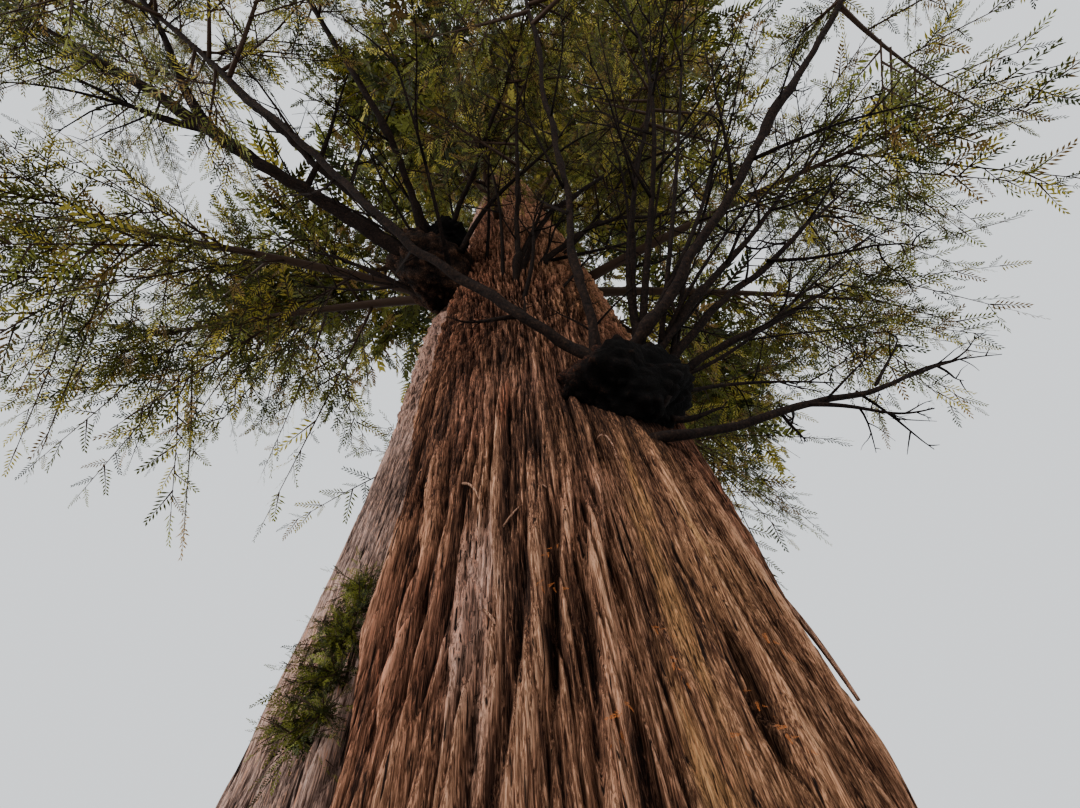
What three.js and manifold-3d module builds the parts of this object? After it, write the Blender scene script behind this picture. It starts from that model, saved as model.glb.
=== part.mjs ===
// Coast redwood: a whole old tree, rooted in the ground.
// Millimetres, +Z up. The origin is the middle of the flat cut at ground level.
// The sizes below are metres of the living tree. The living tree is taller than
// 40 m, so everything is scaled evenly to a height of 40 m as its mesh is made.
import * as THREE from 'three';
import { mergeVertices } from 'three/addons/utils/BufferGeometryUtils.js';
import Module from 'manifold-3d';

const wasm = await Module();
wasm.setup();

const lifeHeight = 64;                  // m, ground to the tip of the leader
const modelHeight = 40;                 // m, the same in this model
const perMetre = 1000 * modelHeight / lifeHeight;   // mm of model for 1 m of tree
const gap = 0.34 / perMetre;            // m, left between two solids that meet

const bole = {
  radius: 1.78,                         // m, above the root flare
  fullness: 1.7,                        // how long the bole keeps its girth
  tipShare: 0.02,                       // radius left at the tip, as a share
  flare: 1.05,                          // m added at the ground
  flareHeight: 1.5,                     // m in which the flare falls to a third
  columns: 30,
  rows: 18,
  rowCrowding: 1.9,                     // rows stand closer near the ground
};

// Ridges (+) and grooves (-) that run up the bole: azimuth and half width in
// degrees, depth as a share of the radius, height in m by which each has faded.
const flutes = [
  { azimuth: -120, width: 9, depth: 0.035, height: 16 },
  { azimuth: -132, width: 9, depth: -0.04, height: 13 },
  { azimuth: -156, width: 18, depth: -0.005, height: 14 },
  { azimuth: -92, width: 14, depth: 0.04, height: 5 },
  { azimuth: -62, width: 13, depth: 0.03, height: 8 },
  { azimuth: -28, width: 27, depth: -0.25, height: 3.4 },
  { azimuth: 14, width: 15, depth: 0.1, height: 7 },
  { azimuth: 38, width: 15, depth: -0.1, height: 6 },
  { azimuth: 66, width: 17, depth: 0.09, height: 9 },
  { azimuth: 98, width: 13, depth: -0.08, height: 7 },
  { azimuth: 128, width: 18, depth: 0.1, height: 10 },
  { azimuth: 172, width: 13, depth: -0.06, height: 6 },
];

// Burls: half lengths along the bark, outward and up, and how far each leans.
const burls = {
  right_burl: { azimuth: -62, distance: 1.8, height: 5.4, lean: -20, half: [0.6, 0.42, 0.38] },
  left_burl: { azimuth: -134, distance: 2.1, height: 10.8, lean: 0, half: [0.55, 0.75, 0.85] },
};
const burlKnobs = 0.13;                 // depth of the lumps, as a share

// Boughs: where each leaves the burl or the bole, the way it heads (azimuth and
// rise in degrees), its bare length, thickness, and how its middle swings aside.
// reach is the length of the leafy part that grows on; a dead bough has none.
const boughs = {
  crossing_bough: { root: [0.8, -1.8, 5.35], azimuth: -147, rise: 38, length: 5.4, radius: 0.055, swerve: -0.03, reach: 4.4 },
  overhead_bough: { root: [0.62, -1.98, 5.85], azimuth: -91, rise: 55, length: 4.2, radius: 0.045, swerve: 0, reach: 4.6 },
  long_right_bough: { root: [0.97, -1.85, 5.65], azimuth: -41, rise: 37, length: 4.5, radius: 0.055, swerve: 0, reach: 4.4 },
  upright_bough: { root: [1.15, -1.68, 5.9], azimuth: -67, rise: 60, length: 3.5, radius: 0.045, swerve: -0.04, reach: 3.8 },
  low_right_bough: { root: [1, -1.55, 4.72], azimuth: 5, rise: 20, length: 3.85, radius: 0.042, swerve: 0.015, reach: 0 },
  dead_bough_1: { root: [1.32, -1.62, 5.75], azimuth: -21, rise: 35, length: 3.9, radius: 0.045, swerve: -0.02, reach: 0 },
  dead_bough_2: { root: [1.25, -1.76, 5.86], azimuth: -30, rise: 36, length: 3.6, radius: 0.04, swerve: 0, reach: 0 },
  dead_bough_3: { root: [1.46, -1.5, 5.72], azimuth: -9, rise: 28, length: 2.6, radius: 0.045, swerve: -0.02, reach: 0 },
  left_bough: { root: [-1.75, -1.75, 10.6], azimuth: -144, rise: 15, length: 4.15, radius: 0.15, swerve: 0, reach: 3.4 },
  left_rising_bough: { root: [-1.55, -1.95, 10.7], azimuth: -142, rise: 34, length: 5.3, radius: 0.09, swerve: -0.02, reach: 3.8 },
  left_upright_bough: { root: [-1.6, -2, 11.1], azimuth: -112, rise: 33, length: 4.3, radius: 0.08, swerve: 0.04, reach: 3.6 },
  left_inner_bough: { root: [-1.3, -1.9, 11], azimuth: -59, rise: 38, length: 3.1, radius: 0.055, swerve: 0.02, reach: 3.6 },
  dead_bough_4: { root: [-2, -1.45, 10.2], azimuth: -158, rise: 17, length: 2, radius: 0.045, swerve: 0.02, reach: 0 },
  front_bough_1: { root: [0, -1.72, 9], azimuth: -81, rise: 60, length: 2.3, radius: 0.055, swerve: 0, reach: 4.4 },
  front_bough_2: { root: [0.25, -1.7, 9.6], azimuth: -36, rise: 56, length: 2.5, radius: 0.055, swerve: -0.08, reach: 3.4 },
  front_bough_3: { root: [0.6, -1.6, 10], azimuth: -10, rise: 45, length: 2.6, radius: 0.055, swerve: -0.08, reach: 3.8 },
};
const bough = {
  sunk: 0.45,                           // m that a root runs back into its burl
  tipShare: 0.7,                        // thickness left where the leaves begin
  collar: 0.5,                          // how much thicker the root is
  sides: 5,
  steps: 4,
};

// The crown above and behind the burls: leafy stems that leave the bole on a
// golden-angle spiral, the lowest reaching furthest and the highest rising most.
const crown = {
  count: 20,
  lowest: 15.4,                         // m, where the first one leaves the bole
  highest: 60,
  crowding: 1.05,                       // above 1, the lower ones stand closer
  firstAzimuth: -100,
  goldenAngle: 137.508,
  width: 10,                            // m, crown radius at its foot
  widthFrom: 12,                        // m, height at which it starts to narrow
  roundness: 1.6,
  rise: [6, 60],                        // degrees, lowest and highest
};
const lowStems = {                      // leafy stems below the spiral
  side_foliage_1: { azimuth: -160, height: 12.2, reach: 7 },
  side_foliage_2: { azimuth: 180, height: 14.2, reach: 7.6 },
  side_foliage_3: { azimuth: -22, height: 12.4, reach: 6.2 },
  side_foliage_4: { azimuth: 6, height: 14, reach: 7.2 },
  back_foliage_1: { azimuth: 34, height: 10, reach: 3 },
  back_foliage_2: { azimuth: 74, height: 11, reach: 6 },
  back_foliage_3: { azimuth: 104, height: 13, reach: 6.6 },
};
const leader = { azimuth: 200, height: 61.3, rise: 66, reach: 2.5 };

// One rule for every mass of foliage: side twigs stand round a stem at the
// golden angle, and toothed sprays of needles sit on each twig. Lengths are
// shares of the stem's reach.
const growth = {
  sideTwigsOnBole: 6,
  sideTwigsOnBough: 5,
  bareOnBole: 0.26,                     // share of the stem without twigs
  bareOnBough: 0.08,
  spread: 0.5,                          // length of the lowest side twig
  narrowing: 0.55,                      // how much shorter the last one is
  flatness: 0.3,                        // how much shorter the upright ones are
  openAngle: [66, 38],                  // degrees to the stem, first and last
  rollScatter: 50,                      // degrees about the stem
  twigSag: 0.14,
  stemSag: 0.2,
  stemRadius: 0.014,                    // of a stem on the bole
  twigRadius: 0.011,
  sprayAlong: [0.5, 1],                 // where sprays sit on a side twig
  sprayLength: [0.44, 1.9],             // share of the reach, and least m
  sprayFits: [1, 0.75, 0.55],           // sizes tried until one fits its space
  spraySunk: [0.08, 0.14],              // share of a spray inside its twig
  sprayThickness: 0.035,
  sprayFork: 52,                        // degrees from the twig to a side spray
  sprayHang: 0.3,                       // how far a spray hangs, 1 is upright
  tilt: 62,                             // degrees, scatter of a spray's plane
};
const clearance = { trunk: 0.12, limb: 0.06, mass: 0.05 };   // m

// Outline of a spray between its root and its tip: share along, half width.
const sprayTeeth = [[0.33, 0.24], [0.47, 0.12], [0.7, 0.2]];

const radians = THREE.MathUtils.degToRad;
const up = new THREE.Vector3(0, 0, 1);
const chance = (seed, draw) => {
  const value = Math.sin(seed * 12.9898 + draw * 78.233) * 43758.5453;
  return value - Math.floor(value);
};
const between = ([low, high], share) => low + (high - low) * share;
const headingOf = (azimuth, rise) => new THREE.Vector3(
  Math.cos(radians(rise)) * Math.cos(radians(azimuth)),
  Math.cos(radians(rise)) * Math.sin(radians(azimuth)),
  Math.sin(radians(rise)),
);

function boleRadius(height) {
  const taper = 1 - (1 - bole.tipShare) * (height / lifeHeight) ** bole.fullness;
  return bole.radius * taper + bole.flare * Math.exp(-height / bole.flareHeight);
}

function flutedRadius(azimuth, height) {
  let share = 1;
  for (const flute of flutes) {
    const turn = THREE.MathUtils.euclideanModulo(azimuth - flute.azimuth + 180, 360) - 180;
    share += flute.depth * Math.exp(-((turn / flute.width) ** 2) - (height / flute.height) ** 2);
  }
  return boleRadius(height) * share;
}

function crownRadius(height) {
  const share = Math.max(0, (height - crown.widthFrom) / (lifeHeight + 2 - crown.widthFrom));
  return crown.width * (1 - share ** crown.roundness);
}

// A closed skin over rings of points. The first and last rings are one point.
function skin(rings) {
  const points = rings.flat();
  const starts = [];
  rings.reduce((start, ring) => (starts.push(start), start + ring.length), 0);
  const faces = [];
  for (let i = 0; i + 1 < rings.length; i += 1) {
    const lower = rings[i];
    const upper = rings[i + 1];
    const sides = Math.max(lower.length, upper.length);
    for (let k = 0; k < sides; k += 1) {
      const next = (k + 1) % sides;
      const [a, b] = [starts[i] + k, starts[i] + next];
      const [c, d] = [starts[i + 1] + k, starts[i + 1] + next];
      if (lower.length === 1) faces.push(starts[i], d, c);
      else if (upper.length === 1) faces.push(a, b, starts[i + 1]);
      else faces.push(a, b, d, a, d, c);
    }
  }
  return geometryOf(points, faces);
}

function geometryOf(points, faces) {
  const geometry = new THREE.BufferGeometry();
  geometry.setFromPoints(points.map((point) => point.clone().multiplyScalar(perMetre)));
  geometry.setIndex(faces);
  return geometry;
}

// A ring of points square to the way a path heads.
function ringAround(centre, heading, radius, sides) {
  const side = new THREE.Vector3().crossVectors(up, heading).normalize();
  const over = new THREE.Vector3().crossVectors(heading, side);
  return Array.from({ length: sides }, (_, k) => {
    const turn = 2 * Math.PI * k / sides;
    return centre.clone()
      .addScaledVector(side, radius * Math.cos(turn))
      .addScaledVector(over, radius * Math.sin(turn));
  });
}

function headingAt(path, t) {
  const step = 1e-4;
  return path(t + step).sub(path(t - step)).normalize();
}

// A tapering limb along a path. A pointed one ends in a point.
function limbSkin(path, radiusAt, sides, steps, pointed) {
  const rings = [[path(0)]];
  for (let i = 0; i <= steps; i += 1) {
    const t = i / steps;
    const last = i === steps;
    if (!(last && pointed)) rings.push(ringAround(path(t), headingAt(path, t), radiusAt(t), sides));
    if (last) rings.push([path(1)]);
  }
  return skin(rings);
}

function solidOf(geometry) {
  const bare = geometry.clone();
  bare.deleteAttribute('normal');
  bare.deleteAttribute('uv');
  const merged = mergeVertices(bare, 1e-4);
  return new wasm.Manifold(new wasm.Mesh({
    numProp: 3,
    vertProperties: new Float32Array(merged.attributes.position.array),
    triVerts: new Uint32Array(merged.index.array),
  }));
}

// The same closed shape with every face moved out by the gap, to cut with.
function grownSolid(geometry) {
  const bare = geometry.clone();
  bare.deleteAttribute('normal');
  bare.deleteAttribute('uv');
  const merged = mergeVertices(bare, 1e-4);
  merged.computeVertexNormals();
  const { position, normal } = merged.attributes;
  const point = new THREE.Vector3();
  const outward = new THREE.Vector3();
  for (let i = 0; i < position.count; i += 1) {
    outward.fromBufferAttribute(normal, i).multiplyScalar(gap * perMetre * 1.15);
    point.fromBufferAttribute(position, i).add(outward);
    position.setXYZ(i, point.x, point.y, point.z);
  }
  return solidOf(merged);
}

function largestPiece(solid) {
  return solid.decompose().reduce((best, piece) => (piece.volume() > best.volume() ? piece : best));
}

function geometryFrom(solid) {
  const mesh = solid.getMesh();
  const geometry = new THREE.BufferGeometry();
  geometry.setAttribute('position', new THREE.BufferAttribute(new Float32Array(mesh.vertProperties), 3));
  geometry.setIndex(new THREE.BufferAttribute(new Uint32Array(mesh.triVerts), 1));
  geometry.computeVertexNormals();
  return geometry;
}

const finishes = {
  bark: { color: 0x6f4a33, roughness: 0.95 },
  burl_bark: { color: 0x2a1c15, roughness: 0.97 },
  bough_bark: { color: 0x38281e, roughness: 0.93 },
  foliage: { color: 0x3d4a22, roughness: 0.75 },
};

const group = new THREE.Group();

function addNode(name, geometry, finish) {
  const mesh = new THREE.Mesh(geometry, new THREE.MeshStandardMaterial({ ...finishes[finish], metalness: 0 }));
  mesh.name = name;
  group.add(mesh);
}

// The bole, whole from the flat cut at the ground to the tip of the leader.
function trunkGeometry() {
  const rings = [[new THREE.Vector3(0, 0, 0)]];
  for (let row = 0; row <= bole.rows; row += 1) {
    const height = lifeHeight * (row / bole.rows) ** bole.rowCrowding;
    rings.push(Array.from({ length: bole.columns }, (_, k) => {
      const azimuth = 360 * k / bole.columns;
      const radius = flutedRadius(azimuth, height);
      return new THREE.Vector3(
        radius * Math.cos(radians(azimuth)),
        radius * Math.sin(radians(azimuth)),
        height,
      );
    }));
  }
  rings.push([new THREE.Vector3(0, 0, lifeHeight)]);
  return skin(rings);
}

// A lumpy egg seated on the bark.
function burlGeometry({ azimuth, distance, height, lean, half }) {
  const geometry = new THREE.IcosahedronGeometry(1, 2);
  const { position } = geometry.attributes;
  const point = new THREE.Vector3();
  for (let i = 0; i < position.count; i += 1) {
    point.fromBufferAttribute(position, i);
    const lumps = Math.sin(5.1 * point.x + 1.3) * Math.sin(4.3 * point.y + 0.4)
      + 0.6 * Math.sin(6.7 * point.z + 3.1 * point.x);
    point.multiplyScalar(1 + burlKnobs * lumps);
    position.setXYZ(i, point.x * half[0], point.y * half[1], point.z * half[2]);
  }
  geometry.rotateY(-radians(lean));
  geometry.translate(0, distance, height);
  geometry.rotateZ(radians(azimuth - 90));
  geometry.scale(perMetre, perMetre, perMetre);
  return geometry;
}

// The middle line of a bough, from its sunk root to where its leaves begin.
function boughPath({ root, azimuth, rise, length, swerve }) {
  const heading = headingOf(azimuth, rise);
  const side = headingOf(azimuth + 90, 0);
  const start = new THREE.Vector3(...root).addScaledVector(heading, -bough.sunk);
  const whole = length + bough.sunk;
  return (t) => start.clone()
    .addScaledVector(heading, whole * t)
    .addScaledVector(side, whole * swerve * Math.sin(Math.PI * t));
}

function boughRadius({ radius }) {
  return (t) => radius * (1 - (1 - bough.tipShare) * t) * (1 + bough.collar * Math.exp(-14 * t));
}

// The middle line of a leafy stem: it heads out and sinks as it goes.
function stemPath({ start, heading, reach, droop }) {
  return (s) => start.clone()
    .addScaledVector(heading, reach * s)
    .addScaledVector(up, -reach * droop * s * s);
}

function leafyStems() {
  const stems = [];
  for (const [name, form] of Object.entries(boughs)) {
    if (!form.reach) continue;
    const path = boughPath(form);
    const heading = headingAt(path, 1);
    stems.push({
      name: `${name}_foliage`,
      start: path(1).addScaledVector(heading, gap),
      heading,
      reach: form.reach,
      radius: form.radius * bough.tipShare,
      bare: growth.bareOnBough,
      sideTwigs: growth.sideTwigsOnBough,
      droop: growth.stemSag * 0.6,
      onBole: false,
    });
  }
  const addOnBole = (name, azimuth, height, rise, reach) => {
    const inside = flutedRadius(azimuth, height) - 0.05;
    stems.push({
      name,
      start: headingOf(azimuth, 0).multiplyScalar(inside).setZ(height),
      heading: headingOf(azimuth, rise),
      reach,
      radius: 0.035 + growth.stemRadius * reach,
      bare: growth.bareOnBole,
      sideTwigs: growth.sideTwigsOnBole,
      droop: growth.stemSag,
      onBole: true,
    });
  };
  for (const [name, { azimuth, height, reach }] of Object.entries(lowStems)) {
    addOnBole(name, azimuth, height, crown.rise[0], reach);
  }
  for (let k = 0; k < crown.count; k += 1) {
    const share = k / (crown.count - 1);
    const height = between([crown.lowest, crown.highest], share ** crown.crowding);
    const azimuth = crown.firstAzimuth + crown.goldenAngle * k;
    const rise = between(crown.rise, share);
    const reach = (crownRadius(height) - boleRadius(height)) * (0.92 + 0.14 * chance(k, 5)) / Math.cos(radians(rise));
    addOnBole(`crown_foliage_${String(k + 1).padStart(2, '0')}`, azimuth, height, rise, reach * 0.96);
  }
  addOnBole('crown_top_foliage', leader.azimuth, leader.height, leader.rise, leader.reach);
  stems.forEach((stem, k) => {
    stem.seed = k + 1;
    stem.path = stemPath(stem);
    stem.line = Array.from({ length: 6 }, (_, i) => stem.path(i / 5));
  });
  return stems;
}

function distanceToLine(line, point) {
  let nearest = Infinity;
  const closest = new THREE.Vector3();
  for (let i = 0; i + 1 < line.length; i += 1) {
    new THREE.Line3(line[i], line[i + 1]).closestPointToPoint(point, true, closest);
    nearest = Math.min(nearest, closest.distanceTo(point));
  }
  return nearest;
}

// Whether all these points lie in the space of one mass: nearer to its own
// stem than to any other, inside the crown, and clear of bole, burls and boughs.
function inOwnSpace(points, own, stems, limbs) {
  return points.every((point) => {
    const fromAxis = Math.hypot(point.x, point.y);
    if (point.z > lifeHeight - 0.15 || fromAxis > crownRadius(point.z) + 0.5) return false;
    if (fromAxis < boleRadius(point.z) * 1.05 + clearance.trunk) return false;
    const limit = distanceToLine(own.line, point) + clearance.mass;
    return stems.every((stem) => stem === own || distanceToLine(stem.line, point) > limit)
      && limbs.every((limb) => distanceToLine(limb.line, point) > limb.radius + clearance.limb);
  });
}

// A toothed spray of needles: an outline that rises to a ridge on both faces.
function sprayShape(root, heading, across, length) {
  const over = new THREE.Vector3().crossVectors(heading, across).normalize();
  const at = (share, width) => root.clone()
    .addScaledVector(heading, length * share)
    .addScaledVector(across, length * width);
  const outline = [
    at(0, 0),
    ...sprayTeeth.map(([share, width]) => at(share, -width)),
    at(1, 0),
    ...sprayTeeth.map(([share, width]) => at(share, width)).reverse(),
  ];
  const half = growth.sprayThickness * length / 2;
  const ridge = [1, -1].map((face) => at(0.48, 0).addScaledVector(over, face * half));
  const faces = outline.flatMap((_, k) => {
    const [count, next] = [outline.length, (k + 1) % outline.length];
    return [count, k, next, count + 1, next, k];
  });
  return { outline, geometry: geometryOf([...outline, ...ridge], faces) };
}

// Where one side twig of a stem starts and ends.
function sideTwig(stem, i) {
  const share = (i + 0.5) / stem.sideTwigs;
  const s = stem.bare + (0.95 - stem.bare) * share;
  const base = stem.path(s);
  const heading = headingAt(stem.path, s);
  const roll = radians(crown.goldenAngle * i + growth.rollScatter * (chance(stem.seed, 10 * i) - 0.5));
  const side = new THREE.Vector3().crossVectors(up, heading).normalize().applyAxisAngle(heading, roll);
  const open = radians(between(growth.openAngle, share));
  const length = stem.reach * growth.spread * (1 - growth.narrowing * share)
    * (1 - growth.flatness * Math.abs(Math.sin(roll))) * (0.85 + 0.3 * chance(stem.seed, 10 * i + 1));
  const tip = base.clone()
    .addScaledVector(heading, length * Math.cos(open))
    .addScaledVector(side, length * Math.sin(open))
    .addScaledVector(up, -growth.twigSag * length);
  return { base, tip, length };
}

// Grow one mass: a stem, its side twigs, and sprays sunk into the twigs.
function foliageSolid(stem, stems, limbs, cutter) {
  const thickness = (s) => stem.radius * (1 - 0.75 * s);
  let solid = solidOf(limbSkin(stem.path, thickness, 3, 3, true));
  const sprayLength = Math.max(growth.sprayLength[1], growth.sprayLength[0] * stem.reach);
  const addSpray = (seat, heading, sunk, draw) => {
    const hanging = heading.clone().addScaledVector(up, -growth.sprayHang).normalize();
    const tilt = radians(growth.tilt) * (2 * chance(stem.seed, draw + 1) - 1);
    const across = new THREE.Vector3().crossVectors(up, hanging).normalize().applyAxisAngle(hanging, tilt);
    for (const fit of growth.sprayFits) {
      const length = fit * sprayLength * (0.85 + 0.3 * chance(stem.seed, draw));
      const root = seat.clone().addScaledVector(hanging, -sunk * length);
      const spray = sprayShape(root, hanging, across, length);
      if (inOwnSpace(spray.outline, stem, stems, limbs)) {
        solid = solid.add(solidOf(spray.geometry));
        return;
      }
    }
  };
  for (let i = 0; i < stem.sideTwigs; i += 1) {
    const { base, tip, length } = sideTwig(stem, i);
    if (!inOwnSpace([base.clone().lerp(tip, 0.5), tip], stem, stems, limbs)) continue;
    const heading = tip.clone().sub(base).normalize();
    const ring = ringAround(base, heading, growth.twigRadius * length + 0.012, 3);
    solid = solid.add(solidOf(skin([[base], ring, [tip]])));
    growth.sprayAlong.forEach((along, k) => {
      const hand = chance(stem.seed, 10 * i + 2) < 0.5 ? 1 : -1;
      const fork = along < 1 ? radians(growth.sprayFork) * hand : 0;
      const sunk = growth.spraySunk[k];
      addSpray(base.clone().lerp(tip, along), heading.clone().applyAxisAngle(up, fork), sunk, 10 * i + 3 + 2 * k);
    });
  }
  addSpray(stem.path(1), headingAt(stem.path, 1), growth.spraySunk[1], 97);
  return largestPiece(stem.onBole ? solid.subtract(cutter) : solid);
}

function build() {
  const trunk = trunkGeometry();
  addNode('trunk', trunk, 'bark');
  const trunkCutter = grownSolid(trunk);
  const limbs = [];
  let woodCutter = trunkCutter;
  for (const [name, form] of Object.entries(burls)) {
    const geometry = burlGeometry(form);
    addNode(name, geometryFrom(largestPiece(solidOf(geometry).subtract(trunkCutter))), 'burl_bark');
    woodCutter = woodCutter.add(grownSolid(geometry));
    const centre = headingOf(form.azimuth, 0).multiplyScalar(form.distance).setZ(form.height);
    limbs.push({ line: [centre, centre], radius: Math.max(...form.half) });
  }
  for (const [name, form] of Object.entries(boughs)) {
    const path = boughPath(form);
    const geometry = limbSkin(path, boughRadius(form), bough.sides, bough.steps, !form.reach);
    addNode(name, geometryFrom(largestPiece(solidOf(geometry).subtract(woodCutter))), 'bough_bark');
    woodCutter = woodCutter.add(grownSolid(geometry));
    limbs.push({ line: Array.from({ length: 6 }, (_, i) => path(i / 5)), radius: form.radius });
  }
  const stems = leafyStems();
  for (const stem of stems) {
    addNode(stem.name, geometryFrom(foliageSolid(stem, stems, limbs, trunkCutter)), 'foliage');
  }
}

build();

export default group;
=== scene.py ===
import bpy
import numpy as np
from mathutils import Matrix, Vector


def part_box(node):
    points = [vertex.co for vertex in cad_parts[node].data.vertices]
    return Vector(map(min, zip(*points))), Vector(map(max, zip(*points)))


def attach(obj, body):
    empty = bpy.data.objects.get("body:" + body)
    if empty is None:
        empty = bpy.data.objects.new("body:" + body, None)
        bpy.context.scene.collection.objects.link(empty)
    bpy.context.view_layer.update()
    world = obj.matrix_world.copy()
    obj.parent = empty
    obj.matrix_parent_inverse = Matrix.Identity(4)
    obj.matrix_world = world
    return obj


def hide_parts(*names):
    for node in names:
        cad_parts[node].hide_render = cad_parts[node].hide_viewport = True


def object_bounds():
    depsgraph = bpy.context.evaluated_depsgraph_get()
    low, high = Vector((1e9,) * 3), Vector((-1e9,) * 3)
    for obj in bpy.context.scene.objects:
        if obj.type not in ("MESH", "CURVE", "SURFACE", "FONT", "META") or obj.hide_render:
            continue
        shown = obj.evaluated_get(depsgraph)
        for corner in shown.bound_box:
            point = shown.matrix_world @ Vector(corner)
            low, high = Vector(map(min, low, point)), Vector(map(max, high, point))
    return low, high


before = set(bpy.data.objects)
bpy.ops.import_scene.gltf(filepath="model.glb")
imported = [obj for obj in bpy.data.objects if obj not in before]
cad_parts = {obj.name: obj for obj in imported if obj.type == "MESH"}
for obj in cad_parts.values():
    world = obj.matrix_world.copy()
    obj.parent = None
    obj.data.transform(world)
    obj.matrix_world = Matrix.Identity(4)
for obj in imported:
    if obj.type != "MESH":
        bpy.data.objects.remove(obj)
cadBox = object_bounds()

lifeHeight = 64.0                              # m, ground to the tip of the leader
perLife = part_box("trunk")[1][2] / lifeHeight   # m of model for 1 m of tree
upward = np.array([0.0, 0.0, 1.0])
goldenAngle = 137.508                          # degrees


# shared by all the pieces


def chance(seed, draw):
    # the fraction of a large sine, an even number from 0 to 1, as in the solids' own rule
    value = np.sin(np.asarray(seed) * 12.9898 + np.asarray(draw) * 78.233) * 43758.5453
    return value - np.floor(value)


def between(ends, share):
    # from the first end at 0 to the second at 1
    return ends[0] + (ends[1] - ends[0]) * share


def scattered(seed, draw, wide=1.0):
    # an even number within half of this width to either side of zero
    return wide * (chance(seed, draw) - 0.5)


def tapering(radius, tipShare, steps):
    # a row of radii for each limb, shrinking evenly to a share of the first
    return np.asarray(radius)[:, None] * np.linspace(1, tipShare, steps)


def only(rows, chosen):
    # the chosen rows of a dictionary of columns
    return {label: column[chosen] for label, column in rows.items()}


def weighted(shares, parts):
    # the sum of each part times its share
    return sum(share * parts[label] for label, share in shares.items())


def evenBark(crest, **others):
    # what the bark materials read at each point, for a piece that is much the same all over
    return {"crest": crest, "tone": 0.5, "pale": 0, "ochre": 0, "red": 0, **others}


def linked(name, data):
    holder = bpy.data.objects.new(name, data)
    bpy.context.scene.collection.objects.link(holder)
    return holder


def unit(vectors):
    return vectors / np.linalg.norm(vectors, axis=-1, keepdims=True)


def smooth(low, high, value):
    # an S-curve from 0 at low to 1 at high
    share = np.clip((value - low) / (high - low), 0, 1)
    return share * share * (3 - 2 * share)


def headingOf(azimuth, rise):
    # unit vectors at an azimuth and a rise above level, both in degrees
    turn, lift = np.broadcast_arrays(np.radians(azimuth), np.radians(rise))
    return np.stack([np.cos(lift) * np.cos(turn), np.cos(lift) * np.sin(turn), np.sin(lift)], -1)


def turned(vectors, axes, angle):
    # Rodrigues: v cos a + (k x v) sin a + k (k.v)(1 - cos a), with the angle in radians
    angle = np.asarray(angle)[..., None]
    along = np.sum(axes * vectors, -1, keepdims=True)
    return (vectors * np.cos(angle) + np.cross(axes, vectors) * np.sin(angle)
            + axes * along * (1 - np.cos(angle)))


def noise(u, v, seed, around=None):
    # gradient noise: a random slope at each whole place, blended by a quintic curve, about -1 to 1.
    # u repeats after "around" cells, so that it closes round the bole
    cellU, cellV = np.floor(u), np.floor(v)
    partU, partV = u - cellU, v - cellV
    easeU = partU ** 3 * (partU * (6 * partU - 15) + 10)
    easeV = partV ** 3 * (partV * (6 * partV - 15) + 10)
    total = 0
    for stepU in (0, 1):
        for stepV in (0, 1):
            column = np.mod(cellU + stepU, around) if around else cellU + stepU
            angle = 2 * np.pi * chance(column + 17.3 * seed, cellV + stepV)
            slope = np.cos(angle) * (partU - stepU) + np.sin(angle) * (partV - stepV)
            total = total + slope * np.abs(1 - stepU - easeU) * np.abs(1 - stepV - easeV)
    return total * 1.5


def furrowed(value, gap):
    # 0 along the wandering lines where noise is zero, 1 from where noise reaches the gap, and
    # between them (noise / gap)^0.62
    return np.clip(np.abs(value) / gap, 0, 1) ** 0.62


def meshPiece(name, points, faceGroups, material, nodes=(), smoothShade=True, values=None,
              uv=None):
    # one object from points in life metres and groups of faces, one row of corner numbers each
    mesh = bpy.data.meshes.new(name)
    corners = np.concatenate([group.ravel() for group in faceGroups])
    sizes = np.concatenate([np.full(len(group), group.shape[1]) for group in faceGroups])
    mesh.vertices.add(len(points))
    mesh.vertices.foreach_set("co", (points * perLife).astype(np.float32).ravel())
    mesh.loops.add(len(corners))
    mesh.loops.foreach_set("vertex_index", corners.astype(np.int32))
    mesh.polygons.add(len(sizes))
    mesh.polygons.foreach_set("loop_start", (np.cumsum(sizes) - sizes).astype(np.int32))
    mesh.polygons.foreach_set("use_smooth", np.full(len(sizes), smoothShade))
    mesh.update(calc_edges=True)
    for label, numbers in (values or {}).items():
        attribute = mesh.attributes.new(label, "FLOAT", "POINT")
        attribute.data.foreach_set("value", np.broadcast_to(numbers, len(points)).astype(np.float32))
    if uv is not None:
        layer = mesh.uv_layers.new(name="OFBake")
        layer.uv.foreach_set("vector", uv.astype(np.float32).ravel())
    mesh.materials.append(material)
    piece = linked(name, mesh)
    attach(piece, "root")
    if nodes:
        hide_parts(*nodes)
    return piece


def ringFaces(rows, columns):
    # quads between rings of points that close round, with the last ring capped by a point and the
    # first by another. Returns quads, triangles and the map places of their corners
    row, column = np.meshgrid(np.arange(rows - 1), np.arange(columns), indexing="ij")
    row, column = row.ravel(), column.ravel()
    rowAt = np.stack([row, row, row + 1, row + 1], 1)
    columnAt = np.stack([column, column + 1, column + 1, column], 1)
    quads = rowAt * columns + columnAt % columns
    here = np.arange(columns)
    following = (here + 1) % columns
    last = (rows - 1) * columns
    start = np.stack([np.full(columns, rows * columns), following, here], 1)
    end = np.stack([np.full(columns, rows * columns + 1), last + here, last + following], 1)
    margin = 0.02
    quadMap = np.stack([columnAt / columns, margin + (1 - 2 * margin) * rowAt / (rows - 1)], -1)
    across = np.stack([here + 0.5, here + 1, here], 1) / columns
    startMap = np.stack([across, np.broadcast_to([0, margin, margin], across.shape)], -1)
    across = np.stack([here + 0.5, here, here + 1], 1) / columns
    endMap = np.stack([across, np.broadcast_to([1, 1 - margin, 1 - margin], across.shape)], -1)
    return quads, np.concatenate([start, end]), quadMap, np.concatenate([startMap, endMap])


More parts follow.
